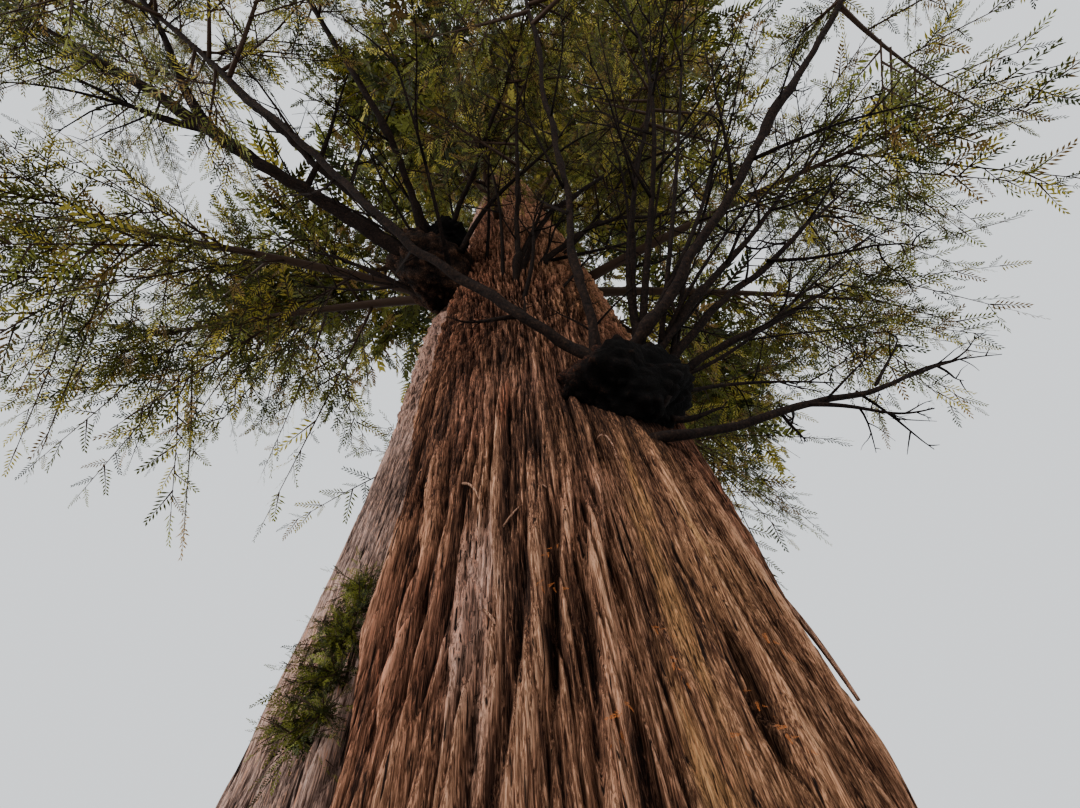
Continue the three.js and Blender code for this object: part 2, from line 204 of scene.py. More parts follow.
def tubes(paths, radii, sides):
    # rings square to each path, closed by a point at either end. paths is (limbs, steps, 3),
    # radii (limbs, steps) or (limbs, steps, sides). Returns points, face groups and map places
    limbs, steps = paths.shape[:2]
    heading = unit(np.gradient(paths, axis=1))
    side = unit(np.cross(upward, heading))
    over = np.cross(heading, side)
    turn = 2 * np.pi * np.arange(sides) / sides
    spokes = (side[:, :, None] * np.cos(turn)[None, None, :, None]
              + over[:, :, None] * np.sin(turn)[None, None, :, None])
    if radii.ndim == 2:
        radii = radii[..., None]
    rings = paths[:, :, None] + spokes * radii[..., None]
    points = np.concatenate([rings.reshape(limbs, -1, 3), paths[:, :1], paths[:, -1:]], 1)
    quads, ends, quadMap, endMap = ringFaces(steps, sides)
    offset = (np.arange(limbs) * (steps * sides + 2))[:, None, None]
    strips = np.arange(limbs)[:, None, None, None]

    def inStrip(places):
        # each limb has its own strip of the map, lying along it
        swapped = np.broadcast_to(places[None], (limbs,) + places.shape)
        return np.concatenate([swapped[..., 1:], (strips + swapped[..., :1]) / limbs], -1).reshape(-1, 2)

    faces = [(quads[None] + offset).reshape(-1, 4), (ends[None] + offset).reshape(-1, 3)]
    return points.reshape(-1, 3), faces, np.concatenate([inStrip(quadMap), inStrip(endMap)])


def joined(parts):
    # several sets of points, face groups and map places as one, each set with its own band of the map
    offsets = np.cumsum([0] + [len(points) for points, faces, uv in parts])
    quads = [faces[0] + offset for (points, faces, uv), offset in zip(parts, offsets)]
    triangles = [faces[1] + offset for (points, faces, uv), offset in zip(parts, offsets)]
    bands = [(uv + [0, number]) / [1, len(parts)] for number, (points, faces, uv) in enumerate(parts)]
    quadMaps = [band[:group.size] for band, group in zip(bands, quads)]
    endMaps = [band[group.size:] for band, group in zip(bands, quads)]
    return (np.concatenate([part[0] for part in parts]), [np.concatenate(quads), np.concatenate(triangles)],
            np.concatenate(quadMaps + endMaps))


class Wire:
    # one output of a material's graph. A sum written with it adds its own Math nodes
    def __init__(self, graph, socket):
        self.graph = graph
        self.socket = socket

    def worked(self, operation, first, second):
        return self.graph.add("ShaderNodeMath", {"operation": operation}, {0: first, 1: second})

    def __add__(self, other):
        return self.worked("ADD", self, other)

    def __sub__(self, other):
        return self.worked("SUBTRACT", self, other)

    def __rsub__(self, other):
        return self.worked("SUBTRACT", other, self)

    def __mul__(self, other):
        return self.worked("MULTIPLY", self, other)


def setStops(ramp, stops):
    while len(ramp.elements) < len(stops):
        ramp.elements.new(0.5)
    for element, (position, colour) in zip(ramp.elements, stops):
        element.position = position
        element.color = (*colour, 1)


class Graph:
    # the nodes of one material, ending in a Principled shader
    def __init__(self, name, shader=None):
        self.material = bpy.data.materials.new(name)
        self.material.use_nodes = True
        self.tree = self.material.node_tree
        self.tree.nodes.clear()
        self.shader = self.add("ShaderNodeBsdfPrincipled", {}, shader or {})
        self.add("ShaderNodeOutputMaterial", {}, {"Surface": self.shader}, output=None)

    def add(self, kind, settings, sockets, output=0):
        # a node of this type: its settings first, then values or wires into its sockets
        node = self.tree.nodes.new(kind)
        for name, value in settings.items():
            if name == "stops":
                setStops(node.color_ramp, value)
            else:
                setattr(node, name, value)
        for name, value in sockets.items():
            self.put(node.inputs[name], value)
        return None if output is None else Wire(self, node.outputs[output])

    def put(self, socket, value):
        if isinstance(value, Wire):
            self.tree.links.new(value.socket, socket)
        elif hasattr(value, "__len__") and socket.type == "RGBA":
            socket.default_value = (*value, 1)
        else:
            socket.default_value = value

    def finish(self, **sockets):
        # wires into the shader's own sockets, whose names are given without spaces
        inputs = self.shader.socket.node.inputs
        for name, value in sockets.items():
            self.put(next(socket for socket in inputs if socket.name.replace(" ", "") == name), value)
        return self.material

    def noiseAt(self, vector, scale, detail, roughness):
        return self.add("ShaderNodeTexNoise", {}, {"Vector": vector, "Scale": scale, "Detail": detail,
                                                   "Roughness": roughness})

    def stretchedPlace(self, scale):
        # the piece's own coordinates, in metres, scaled along each axis
        place = self.add("ShaderNodeTexCoord", {}, {}, output="Object")
        return self.add("ShaderNodeMapping", {}, {"Vector": place, "Scale": scale})

    def value(self, label):
        # a number kept at each point of the mesh
        return self.add("ShaderNodeAttribute", {"attribute_name": label}, {}, output="Fac")

    def blend(self, factor, first, second, kind="MIX"):
        # Mix node on colours: sockets 0 factor, 6 and 7 the colours, output 2
        return self.add("ShaderNodeMix", {"data_type": "RGBA", "blend_type": kind, "clamp_factor": True},
                        {0: factor, 6: first, 7: second}, output=2)

    def ramp(self, factor, stops):
        return self.add("ShaderNodeValToRGB", {"stops": stops}, {"Fac": factor})

    def bump(self, height, distance):
        return self.add("ShaderNodeBump", {}, {"Height": height, "Distance": distance, "Strength": 1.0})


# the bole: its size, its skin of bark and where the photograph shows something of note on it

bole = {
    "radius": 1.78,            # above the root flare
    "fullness": 1.7,           # how long the bole keeps its girth
    "tipShare": 0.02,          # radius left at the tip
    "flare": 1.05,             # added at the ground
    "flareHeight": 1.5,
    "columns": 1140,           # round the bole, where it shows from near
    "dense": (-150, -30),      # degrees: the face seen from near has closer columns
    "sparse": 0.3,             # how close they stand elsewhere
    # bottom, top, height of a row, share of the columns: one piece each
    "bands": [(0, 2.1, 0.1, 1), (2.1, 4.2, 0.028, 1), (4.2, 7.4, 0.043, 1),
              (7.4, 12.8, 0.06, 0.75), (12.8, 25.6, 0.3, 0.35), (25.6, 64, 0.6, 0.22)],
}
flutes = [                     # azimuth, half width in degrees, depth as a share, height where it fades
    (-120, 9, 0.035, 16), (-132, 9, -0.04, 13), (-156, 18, -0.005, 14), (-92, 14, 0.04, 5),
    (-62, 13, 0.03, 8), (-28, 27, -0.25, 3.4), (14, 15, 0.1, 7), (38, 15, -0.1, 6),
    (66, 17, 0.09, 9), (98, 13, -0.08, 7), (128, 18, 0.1, 10), (172, 13, -0.06, 6),
]
bark = {
    "ridgesAround": 140,
    "crowding": 0.006,         # turns by which ridges crowd together or spread
    "wobble": 0.28,            # how far a ridge wanders, in ridges
    "shagAt": (5.0, 8.0),      # between these heights it turns short, shaggy and redder
    # heights, and the azimuths at which the face there overhangs the paler left flank
    "stepAt": ((2.4, 3.5, 4.7, 7.1, 8.2), (-112, -115.5, -118.5, -124, -127)),
    "stepWidth": 11,           # degrees over which the flank comes out again
    "stepSway": (1.2, 1.2),    # degrees by which that edge wanders, and m for each bend
    "shagSway": 1.2,           # m
    "ragged": (0.6, 1.3),      # how broken the patches are: their mean, and the share of the noise
    "fineWobble": 0.4,
    "calm": {"slab": 0.9, "panel": 0.9, "sleek": 0.6},     # how much each evens out the ridges
    "flankCalm": 0.6,
    "burlHold": 0.8,           # share of the relief that is lost under a burl
    "fullDepthFrom": 1.2,      # m of radius, a thinner bole has shallower bark
}
grains = {                     # how many for each ridge round the bole, length in m, seed, how far each
    # strays with the ridges, and where its furrows end, or the ends of an S-curve
    "ridge": (1, 3.0, 1, 1, 0.2),
    "strand": (2, 1.5, 2, 2, 0.25),
    "fibre": (4, 0.6, 3, 0, 0.36),
    "plates": (1, 0.9, 4, 2, 0.3),
    "cord": (0.8, 2.6, 22, 1, (0.18, 0.3)),    # raised and narrow, here and there
    "slit": (3, 0.42, 9, 0, (0.1, 0.4)),       # short and dark, between the strands
    "flake": (2, 0.12, 23, 0, (-0.1, 0.3)),
}
tufts = [(2, 0.42, 5, 2.5), (4, 0.3, 15, -3)]  # how many for each ridge, length, seed, slant
slowNoise = {                  # cells round the bole, their length in m, seed
    "wobble": (24, 1.1, 11), "fineWobble": (60, 0.35, 13), "crowding": (20, 2.4, 17),
    "swell": (18, 4, 6), "streaks": (70, 1.3, 7), "blotches": (16, 1.2, 8), "shagEdge": (12, 2, 12),
    "ragged": (140, 0.9, 21),
}
barkDepth = {                  # m by which each thing stands out, or sits back
    "ridge": 0.024, "cord": 0.018, "strand": 0.024, "fibre": 0.016, "slit": -0.014, "shagged": 0.1,
    "swell": 0.06, "step": -0.12,
}
barkDent = {"hollow": -0.13, "seat": -0.05}
tintShares = {                 # what each thing adds to the values that the bark material reads
    # in crest, hollow, seat, leftFace and high are painted shade, and shag darkens partly as its own dark
    # brown, partly as painted shade
    "crest": {"all": 0.1, "ridge": 0.1, "cord": 0.16, "strand": 0.28, "fibre": 0.3, "plates": 0.2,
              "tufts": 0.7, "rope": 5.5, "slit": -0.35, "slab": 0.2, "panel": 0.4, "hollow": -0.9,
              "seat": -0.45, "shag": -0.16, "sleek": 0.24, "ground": -0.1, "shady": -0.08,
              "leftFace": -0.12, "flank": -0.08, "flankTop": 0.32, "high": -0.17, "top": 0.24},
    "tone": {"all": 0.5, "streaks": 0.8, "blotches": 0.4},
    "pale": {"flank": 0.85, "panel": 0.8, "paleSpots": 0.2},
    "ochre": {"slab": 1, "rightFace": 0.25, "ochreSpots": 0.35},
    "red": {"shag": 0.25, "shady": 0.4, "leftFace": 0.25, "panel": 0.25, "redSpots": 0.3, "rust": 1},
}
zones = {                      # from nothing to all, then from nothing to all again on the far side
    # by azimuth, in degrees
    # the left flank: its own greyer bark, and paler as well by painted light from the open left side
    "flank": [(-185, -165)],
    "sleek": [(-82, -75), (-44, -54)],         # broad smooth strips
    "ground": [(-98, -95), (-79, -82)],        # dark and rough between the ropes
    "shady": [(-60, -50), (30, 0)],
    # painted shade: the face's left part next to the flank is darker and redder
    "leftFace": [(-98, -106)],
    "rightFace": [(-95, -65)],
    # by height, in m
    "groundTop": [(5.6, 4.2)],
    "flankTop": [(4.5, 7)],
    # painted shade: the bole is darker from here up, as if under its boughs and crown
    "high": [(3.2, 5)],
    "top": [(7.5, 10.5)],
}
ropeForm = {
    "sway": 0.6,               # degrees by which a rope wanders
    "bends": 1.4,              # for each m of height
    "furrow": 0.45,            # depth of the furrow on either side, as a share of how far out it stands
    "furrowAt": 1.6,           # half widths from its middle
    "lowEnd": (-0.15, 0.2),    # m from either end, where it begins and where it stands out in full
    "highEnd": (0.2, -0.4),
}
ropes = [                      # raised strands: azimuth and height of either end, half width, how far out
    ((-94.4, 2.2), (-90, 3.75), 0.04, 0.07), ((-90, 2.5), (-84.8, 3.9), 0.026, 0.055),
    ((-86.4, 2.1), (-81, 3.8), 0.038, 0.065), ((-114, 2.9), (-115.5, 4.3), 0.034, 0.07),
    ((-107.5, 2.6), (-110.5, 4.7), 0.038, 0.08), ((-105.8, 2.2), (-103.8, 4.6), 0.03, 0.06),
    ((-97.5, 3.4), (-96.5, 5.6), 0.034, 0.055), ((-88, 4), (-87, 6.4), 0.034, 0.05),
    ((-79, 3.6), (-78.5, 6), 0.038, 0.05), ((-67.5, 2.2), (-64, 5.2), 0.04, 0.035),
    ((-118.5, 2.4), (-119.5, 6.5), 0.04, 0.06), ((-99.5, 2.1), (-101.5, 3.2), 0.03, 0.05),
    ((-57, 2.3), (-54, 4.6), 0.045, 0.06),
]
patches = {                    # azimuth, height, half widths in degrees and in m
    "panel": [(-99.6, 3.1, 3.6, 0.85)],                       # flaky, greyish pink
    "slab": [(-71.6, 3.9, 1.2, 0.5), (-74.4, 3.2, 1.8, 0.6), (-76.2, 2.65, 2.2, 0.45),    # smooth, tan
             (-77.8, 2.2, 2, 0.35), (-65.5, 3.6, 0.9, 0.5)],
    # dents whose bark is also painted near black: painted shade in the hollows
    "hollow": [(-110.6, 3.25, 0.9, 0.22), (-109.6, 3.45, 0.6, 0.14), (-68.3, 2.7, 1, 0.2),
               (-69.8, 2.48, 0.8, 0.12), (-60.8, 2.86, 0.6, 0.12)],
    "rust": [(-81, 3.15, 0.7, 0.1), (-95, 4.9, 2, 0.6), (-76, 2.5, 0.8, 0.2)],
}


def boleRadius(height):
    # radius (1 - 0.98 (h / height)^1.7) + flare e^(-h / 1.5)
    taper = 1 - (1 - bole["tipShare"]) * (height / lifeHeight) ** bole["fullness"]
    return bole["radius"] * taper + bole["flare"] * np.exp(-height / bole["flareHeight"])


def turnFrom(azimuth, middle):
    # degrees from the middle to an azimuth, -180 to 180
    return (azimuth - middle + 180) % 360 - 180


def flutedRadius(azimuth, height):
    # the bole's radius times 1 + the sum of depth e^(-(turn / width)^2 - (h / fade)^2)
    share = 1
    for middle, width, depth, fade in flutes:
        turn = turnFrom(azimuth, middle)
        share = share + depth * np.exp(-(turn / width) ** 2 - (height / fade) ** 2)
    return boleRadius(height) * share


def patch(kind, azimuth, height):
    # 1 in the middle of each place of this kind, falling off as e^(-(dx^2 + dy^2)^2)
    total = 0
    for middle, level, wide, high in patches[kind]:
        far = (turnFrom(azimuth, middle) / wide) ** 2 + ((height - level) / high) ** 2
        total = total + np.exp(-far ** 2)
    return np.clip(total, 0, 1)


def ropeRelief(azimuth, height):
    # each rope is e^(-x^4) across the bark, between two shallow Gauss furrows, from end to end
    total = 0
    for number, ((lowTurn, low), (highTurn, high), wide, out) in enumerate(ropes):
        share = np.clip((height - low) / (high - low), 0, 1)
        sway = ropeForm["sway"] * noise(height * ropeForm["bends"], number + 0.5, 31)
        middle = lowTurn + (highTurn - lowTurn) * share + sway
        across = np.radians(turnFrom(azimuth, middle)) * bole["radius"] / wide
        (bottom, full), (top, fading) = ropeForm["lowEnd"], ropeForm["highEnd"]
        ends = smooth(low + bottom, low + full, height) * smooth(high + top, high + fading, height)
        furrows = ropeForm["furrow"] * np.exp(-(np.abs(across) - ropeForm["furrowAt"]) ** 2 * 4)
        total = total + out * ends * (np.exp(-across ** 4) - furrows)
    return total


# the burls' near black is their own dark brown bark with painted shade over it; brown lifts a burl out of
# that painted shade toward its own brown
burls = {                      # half: along the bark, outward and up; brown: how much paler than black
    "right_burl": {"azimuth": -62, "distance": 1.8, "height": 5.4, "lean": -20, "half": (0.6, 0.42, 0.38),
                   "brown": 0.0},
    "left_burl": {"azimuth": -134, "distance": 2.1, "height": 10.8, "lean": 0, "half": (0.55, 0.75, 0.85),
                  "brown": 0.5},
}
# painted shadow: a near-black knob beside the left burl that stands in for a hollow in shade
paintedShadowKnob = {"azimuth": -122, "distance": 2.28, "height": 11.3, "lean": 0, "half": (0.36, 0.36, 0.5),
            "brown": 0}


def nearBurl(azimuth, height):
    # 1 on the bark that a burl is seated on, falling off round it as a patch does
    total = 0
    for form in burls.values():
        wide = np.degrees((form["half"][0] + 0.15) / form["distance"])
        across = turnFrom(azimuth, form["azimuth"]) / wide
        over = (height - form["height"]) / (form["half"][2] + 0.3)
        total = total + np.exp(-(across ** 2 + over ** 2) ** 2)
    return np.clip(total, 0, 1)


def zone(name, value):
    # the product of an S-curve for each of the zone's sides
    share = 1
    for ends in zones[name]:
        share = share * smooth(*ends, value)
    return share


def slow(label, turns, height):
    # noise with a whole number of wide cells round the bole
    cells, length, seed = slowNoise[label]
    return noise(turns * cells, height / length, seed, cells)


def barkZones(azimuth, turns, height):
    # how much of each kind the bark is, 0 to 1
    side = turnFrom(azimuth, 0)
    sway, bend = bark["stepSway"]
    edge = np.interp(height, *bark["stepAt"]) + sway * noise(height / bend, 0.5, 18)
    mean, spread = bark["ragged"]
    ragged = np.clip(mean + spread * slow("ragged", turns, height), 0, 1)
    found = {kind: patch(kind, azimuth, height) * ragged for kind in ("slab", "panel", "rust")}
    # painted shade: the hollows' bark is darkened as well as dented
    found["hollow"] = patch("hollow", azimuth, height)
    # painted shade: the bark round each burl's foot is darkened, as well as smoothed and sunk
    found["seat"] = nearBurl(azimuth, height)
    found["shag"] = smooth(*bark["shagAt"], height + bark["shagSway"] * slow("shagEdge", turns, height))
    # the flank's paleness is partly its own grey bark, partly painted light
    found["flank"] = smooth(edge, edge - 1.5, side) * zone("flank", side)
    found["step"] = found["flank"] * np.exp(-((side - edge) / bark["stepWidth"]) ** 2)
    found["sleek"] = zone("sleek", side) * (1 - found["shag"])
    found["shady"] = zone("shady", side) * (1 - found["shag"])
    # painted shade on the face's left part
    found["leftFace"] = zone("leftFace", side) * (1 - found["flank"])
    found["rightFace"] = zone("rightFace", side) * (1 - found["shady"])
    found["ground"] = zone("ground", side) * zone("groundTop", height)
    found["flankTop"] = found["flank"] * zone("flankTop", height)
    # high is painted shade, darker up the bole
    found["high"], found["top"] = zone("high", height), zone("top", height)
    return found


def barkGrain(turns, wobble, height):
    # ridges, strands, fibres and plates are furrows of noise drawn out upward, cords, slits and
    # flakes are S-curves of it, and tufts are noise drawn out aslant
    around = bark["ridgesAround"]
    found = {}
    for label, (many, length, seed, stray, ends) in grains.items():
        cells = round(around * many)
        value = noise(turns * cells + stray * wobble, height / length, seed, cells)
        found[label] = smooth(*ends, value) if isinstance(ends, tuple) else furrowed(value, ends)
    found["tufts"] = 0.6 * sum(noise(turns * around * many + height * slant, height / length, seed,
                                     around * many) for many, length, seed, slant in tufts)
    return found


def barkSkin(azimuth, height):
    # how far the bark stands out, in m, with what colours it, each 0 to 1: sums of the zones and
    # the grain, each times its share
    turns = azimuth / 360
    wobble = slow("wobble", turns, height) + bark["fineWobble"] * slow("fineWobble", turns, height)
    wobble = bark["wobble"] * wobble
    turns = turns + bark["crowding"] * slow("crowding", turns, height)
    kind, grain = barkZones(azimuth, turns, height), barkGrain(turns, wobble, height)
    shag, flank, sleek, panel = (kind[name] for name in ("shag", "flank", "sleek", "panel"))
    calm = np.clip(weighted(bark["calm"], kind), 0, 1)
    rugged = (1 - calm) * (1 - bark["flankCalm"] * flank)
    rope = ropeRelief(azimuth, height)
    raised = {
        "ridge": (grain["ridge"] - 0.7) * rugged * (1 - 0.5 * shag),
        "cord": grain["cord"] * rugged * (1 - 0.7 * shag),
        "strand": (grain["strand"] - 0.6) * (1 - 0.5 * calm),
        "fibre": grain["fibre"] - 0.5 + 1.5 * panel * grain["flake"],
        "slit": grain["slit"] * (1 - 0.5 * calm),
        "shagged": shag * (0.6 * grain["plates"] + 0.9 * grain["tufts"] - 0.6),
        "swell": slow("swell", turns, height),
        "step": kind["step"],
    }
    relief = (weighted(barkDepth, raised) + rope) * (1 - bark["burlHold"] * kind["seat"])
    relief = relief + weighted(barkDent, kind)
    firm = 1 - 0.55 * sleek
    blotches = slow("blotches", turns, height)
    seen = {
        **kind,
        "all": 1,
        "rope": rope,
        "ridge": firm * grain["ridge"],
        "cord": firm * grain["cord"] * (1 - shag),
        "strand": firm * grain["strand"],
        "fibre": firm * grain["fibre"],
        "plates": shag * grain["plates"],
        "tufts": shag * grain["tufts"],
        "slit": grain["slit"] * (1 - 0.6 * sleek),
        "streaks": slow("streaks", turns, height),
        "blotches": blotches,
        "paleSpots": smooth(0.1, 0.5, blotches),
        "ochreSpots": smooth(0, 0.5, -blotches) * kind["rightFace"],
        "redSpots": smooth(0, 0.4, blotches) * (1 - calm) * (1 - flank),
    }
    values = {label: np.clip(weighted(shares, seen), 0, 1) for label, shares in tintShares.items()}
    return relief * np.clip(boleRadius(height) / bark["fullDepthFrom"], 0.05, 1), values


def columnAzimuths(count):
    # columns stand closer on the face seen from near: even steps of a running sum of their density
    fine = np.linspace(-180, 180, 1441)
    low, high = bole["dense"]
    dense = smooth(low - 12, low, fine) * smooth(high + 12, high, fine)
    weight = bole["sparse"] + (1 - bole["sparse"]) * dense
    running = np.concatenate([[0], np.cumsum((weight[1:] + weight[:-1]) / 2)])
    return np.interp(np.arange(count) / count, running / running[-1], fine)


def buildTrunk(material):
    # rings of points at the fluted radius plus the bark's relief, one piece for each band
    for number, (low, high, step, share) in enumerate(bole["bands"]):
        rows = round((high - low) / step) + 1
        azimuth = columnAzimuths(round(bole["columns"] * share))[None, :]
        height = np.linspace(low, high, rows)[:, None]
        relief, values = barkSkin(azimuth, height)
        radius = flutedRadius(azimuth, height) + relief
        direction = headingOf(azimuth, 0)
        rings = direction * radius[..., None] + height[..., None] * upward
        ends = np.array([[0, 0, low], [0, 0, high]])
        points = np.concatenate([rings.reshape(-1, 3), ends])
        quads, caps, quadMap, capMap = ringFaces(rows, azimuth.size)
        kept = {label: np.append(grid.ravel(), [0.5, 0.5]) for label, grid in values.items()}
        uv = np.concatenate([quadMap.reshape(-1, 2), capMap.reshape(-1, 2)])
        piece = meshPiece(f"trunk_bark_{number + 1}", points, [quads, caps], material,
                          ["trunk"], values=kept, uv=uv)
        print(f"trunk band {number + 1}: {len(piece.data.polygons)} faces, {low} to {high} m")


barkGraph = {
    # share of the drawing out, share of the fibres' scale, detail and roughness of each noise
    "fibre": (1, 1, 5, 0.75), "thread": (0.7, 2.1, 3, 0.6), "coarse": (1.3, 0.3, 5, 0.6),
    "crack": (0.5, 0.55, 3, 0.5),
    "crestShare": 0.72,
    "toneShare": 0.3,
    "coarseShare": 0.5,
    "threadShare": 0.8,
    "tintShare": {"pale": 0.9, "ochre": 0.9, "red": 0.8},
    "crackEdge": 14,
    "roughness": (0.97, 0.14),         # in a furrow, and how much less it is on a crest
}


def barkMaterial(name, look):
    # four noises drawn out along the grain. Three shift the crest value that picks the colour from
    # the ramp, and the fourth makes thin cracks of its darkest colour. A tint gives what the ramp
    # says its own hue and saturation, and leaves it as light as it was
    graph = Graph(name, {"Specular IOR Level": 0.2})

    def drawnOut(kind):
        draw, scale, detail, roughness = barkGraph[kind]
        place = graph.stretchedPlace((1, 1, look["draw"] * draw))
        return graph.noiseAt(place, look["fibre"] * scale, detail, roughness)

    fibre, thread, coarse = (drawnOut(kind) - 0.5 for kind in ("fibre", "thread", "coarse"))
    crack = drawnOut("crack")
    at = {label: graph.value(label) for label in ("crest", "tone", "pale", "ochre", "red")}
    grain = (fibre * look["contrast"] + thread * (look["contrast"] * barkGraph["threadShare"])
             + coarse * barkGraph["coarseShare"])
    shade = (at["crest"] * barkGraph["crestShare"] + grain + (at["tone"] - 0.5) * barkGraph["toneShare"]
             + (at["pale"] + at["ochre"]) * look["lift"] + look["shift"])
    colour = graph.ramp(shade, look["stops"])
    for tint, share in barkGraph["tintShare"].items():
        colour = graph.blend(at[tint] * share + grain, colour, look[tint], "COLOR")
    darkest = look["stops"][0][1]
    colour = graph.blend((look["crackBelow"] - crack) * barkGraph["crackEdge"], colour, darkest)
    relief = graph.bump(fibre + thread * 0.6 + coarse * 0.6 + crack, look["bump"])
    dull, sheen = barkGraph["roughness"]
    return graph.finish(BaseColor=colour, Roughness=dull - at["crest"] * sheen, Normal=relief)


trunkLook = {
    "draw": 0.05,              # how far the grain is drawn out upward
    "fibre": 150.0,            # fibres per m of model
    "crackBelow": 0.4,         # share of the bark that thin dark cracks take, about
    "contrast": 2.2,
    "lift": 0.12,              # how much lighter the tinted places are
    "shift": 0.185,            # and the whole
    "bump": 0.014,
    "stops": [(0.08, (0.018, 0.009, 0.007)), (0.34, (0.075, 0.034, 0.022)), (0.58, (0.175, 0.085, 0.052)),
              (0.82, (0.32, 0.178, 0.112)), (1.0, (0.56, 0.36, 0.245))],
    "pale": (0.33, 0.25, 0.23),
    "ochre": (0.32, 0.185, 0.092),
    "red": (0.19, 0.08, 0.05),
}
trunkMaterial = barkMaterial("redwood bark", trunkLook)
buildTrunk(trunkMaterial)


# burls: lumpy eggs seated on the bark, as in the solids, with knobs all over

burlSkin = {
    "swollen": 1.05,           # its share of the solid's size
    "lumps": 0.13,
    "knobs": 420,
    "knobWidth": 0.1,          # radians, and its spread of shares
    "knobWidths": (0.6, 1.6),
    "knobOut": 0.12,
    "knobSizes": (0.3, 1.3),
    # painted light: the side of a burl that faces this way is made lighter and redder in its colour
    "spotScatter": (40, 14),   # degrees round and up from the golden spiral
    "litFrom": (0.55, -0.1, 0.75),
    "crest": {"all": 0.05, "knobs": 0.45, "lit": 0.4},
    "rows": 76,
    "columns": 132,
}


def buildBurl(name, form, seed, material, nodes):
    # a unit sphere, pushed out by the solids' slow waves and by a Gauss knob at each spot of a
    # golden spiral, then stretched to its half lengths, leant, and set on the bole
    rows, columns = burlSkin["rows"], burlSkin["columns"]
    tilt = np.pi * (np.arange(rows) + 0.5)[:, None] / rows - np.pi / 2
    turn = 2 * np.pi * np.arange(columns)[None, :] / columns
    ball = headingOf(np.degrees(turn), np.degrees(tilt))
    ball = np.concatenate([ball.reshape(-1, 3), [[0, 0, -1], [0, 0, 1]]])
    x, y, z = ball.T
    waves = np.sin(5.1 * x + 1.3) * np.sin(4.3 * y + 0.4) + 0.6 * np.sin(6.7 * z + 3.1 * x)
    spots = np.arange(burlSkin["knobs"])
    scatterRound, scatterUp = burlSkin["spotScatter"]
    spotRise = np.degrees(np.arcsin(2 * (spots + 0.5) / len(spots) - 1)) + scattered(seed, spots, scatterUp)
    spotAt = headingOf(goldenAngle * spots + scatterRound * chance(seed, spots + 400), spotRise)
    wide = burlSkin["knobWidth"] * between(burlSkin["knobWidths"], chance(seed, spots + 800))
    near = np.exp((ball @ spotAt.T - 1) * 2 / wide ** 2)
    knobs = np.max(near * between(burlSkin["knobSizes"], chance(seed, spots + 1200)), axis=1)
    out = 1 + burlSkin["lumps"] * waves + burlSkin["knobOut"] * (knobs - 0.5)
    points = ball * out[:, None] * form["half"] * burlSkin["swollen"]
    lean, swing = np.radians(form["lean"]), np.radians(form["azimuth"] - 90)
    leant = turned(points, np.array([0.0, -1.0, 0.0]), np.full(len(points), lean))
    leant = leant + [0, form["distance"], form["height"]]
    placed = turned(leant, upward, np.full(len(leant), swing))
    quads, caps, quadMap, capMap = ringFaces(rows, columns)
    uv = np.concatenate([quadMap.reshape(-1, 2), capMap.reshape(-1, 2)])
    # painted light on the upper side: it raises the crest and gives the red tint, and the rest stays near
    # black
    lit = smooth(-0.2, 0.9, ball @ unit(np.array(burlSkin["litFrom"])))
    crest = weighted(burlSkin["crest"], {"all": 1, "knobs": knobs, "lit": lit})
    crest = np.clip(form["brown"] + crest, 0, 1)
    meshPiece(name + "_bark", placed, [quads, caps], material, nodes,
              values=evenBark(crest, red=lit), uv=uv)


burlLook = {
    "draw": 0.7,
    "fibre": 55.0,
    "crackBelow": 0.0,
    "contrast": 1.0,
    "lift": 0.0,
    "shift": 0.06,
    "bump": 0.025,
    # near-black stops: dark brown burl bark darkened by painted shade, as if all of it were a shaded
    # underside
    "stops": [(0.2, (0.002, 0.0015, 0.0015)), (0.5, (0.008, 0.005, 0.005)), (0.75, (0.045, 0.024, 0.016)),
              (1.0, (0.16, 0.08, 0.05))],
    "pale": (0.3, 0.2, 0.15),
    "ochre": (0.2, 0.12, 0.06),
    "red": (0.09, 0.032, 0.018),
}
burlMaterial = barkMaterial("burl bark", burlLook)
for number, (name, form) in enumerate(burls.items()):
    buildBurl(name, form, number + 3, burlMaterial, [name])
# the knob is painted shadow, in the near-black burl bark
buildBurl("dark_knob", paintedShadowKnob, 8, burlMaterial, [])
print(f"burls: {len(burls)}, and a dark knob")


# boughs: the solids' own middle lines, then on through their leaves to the tip

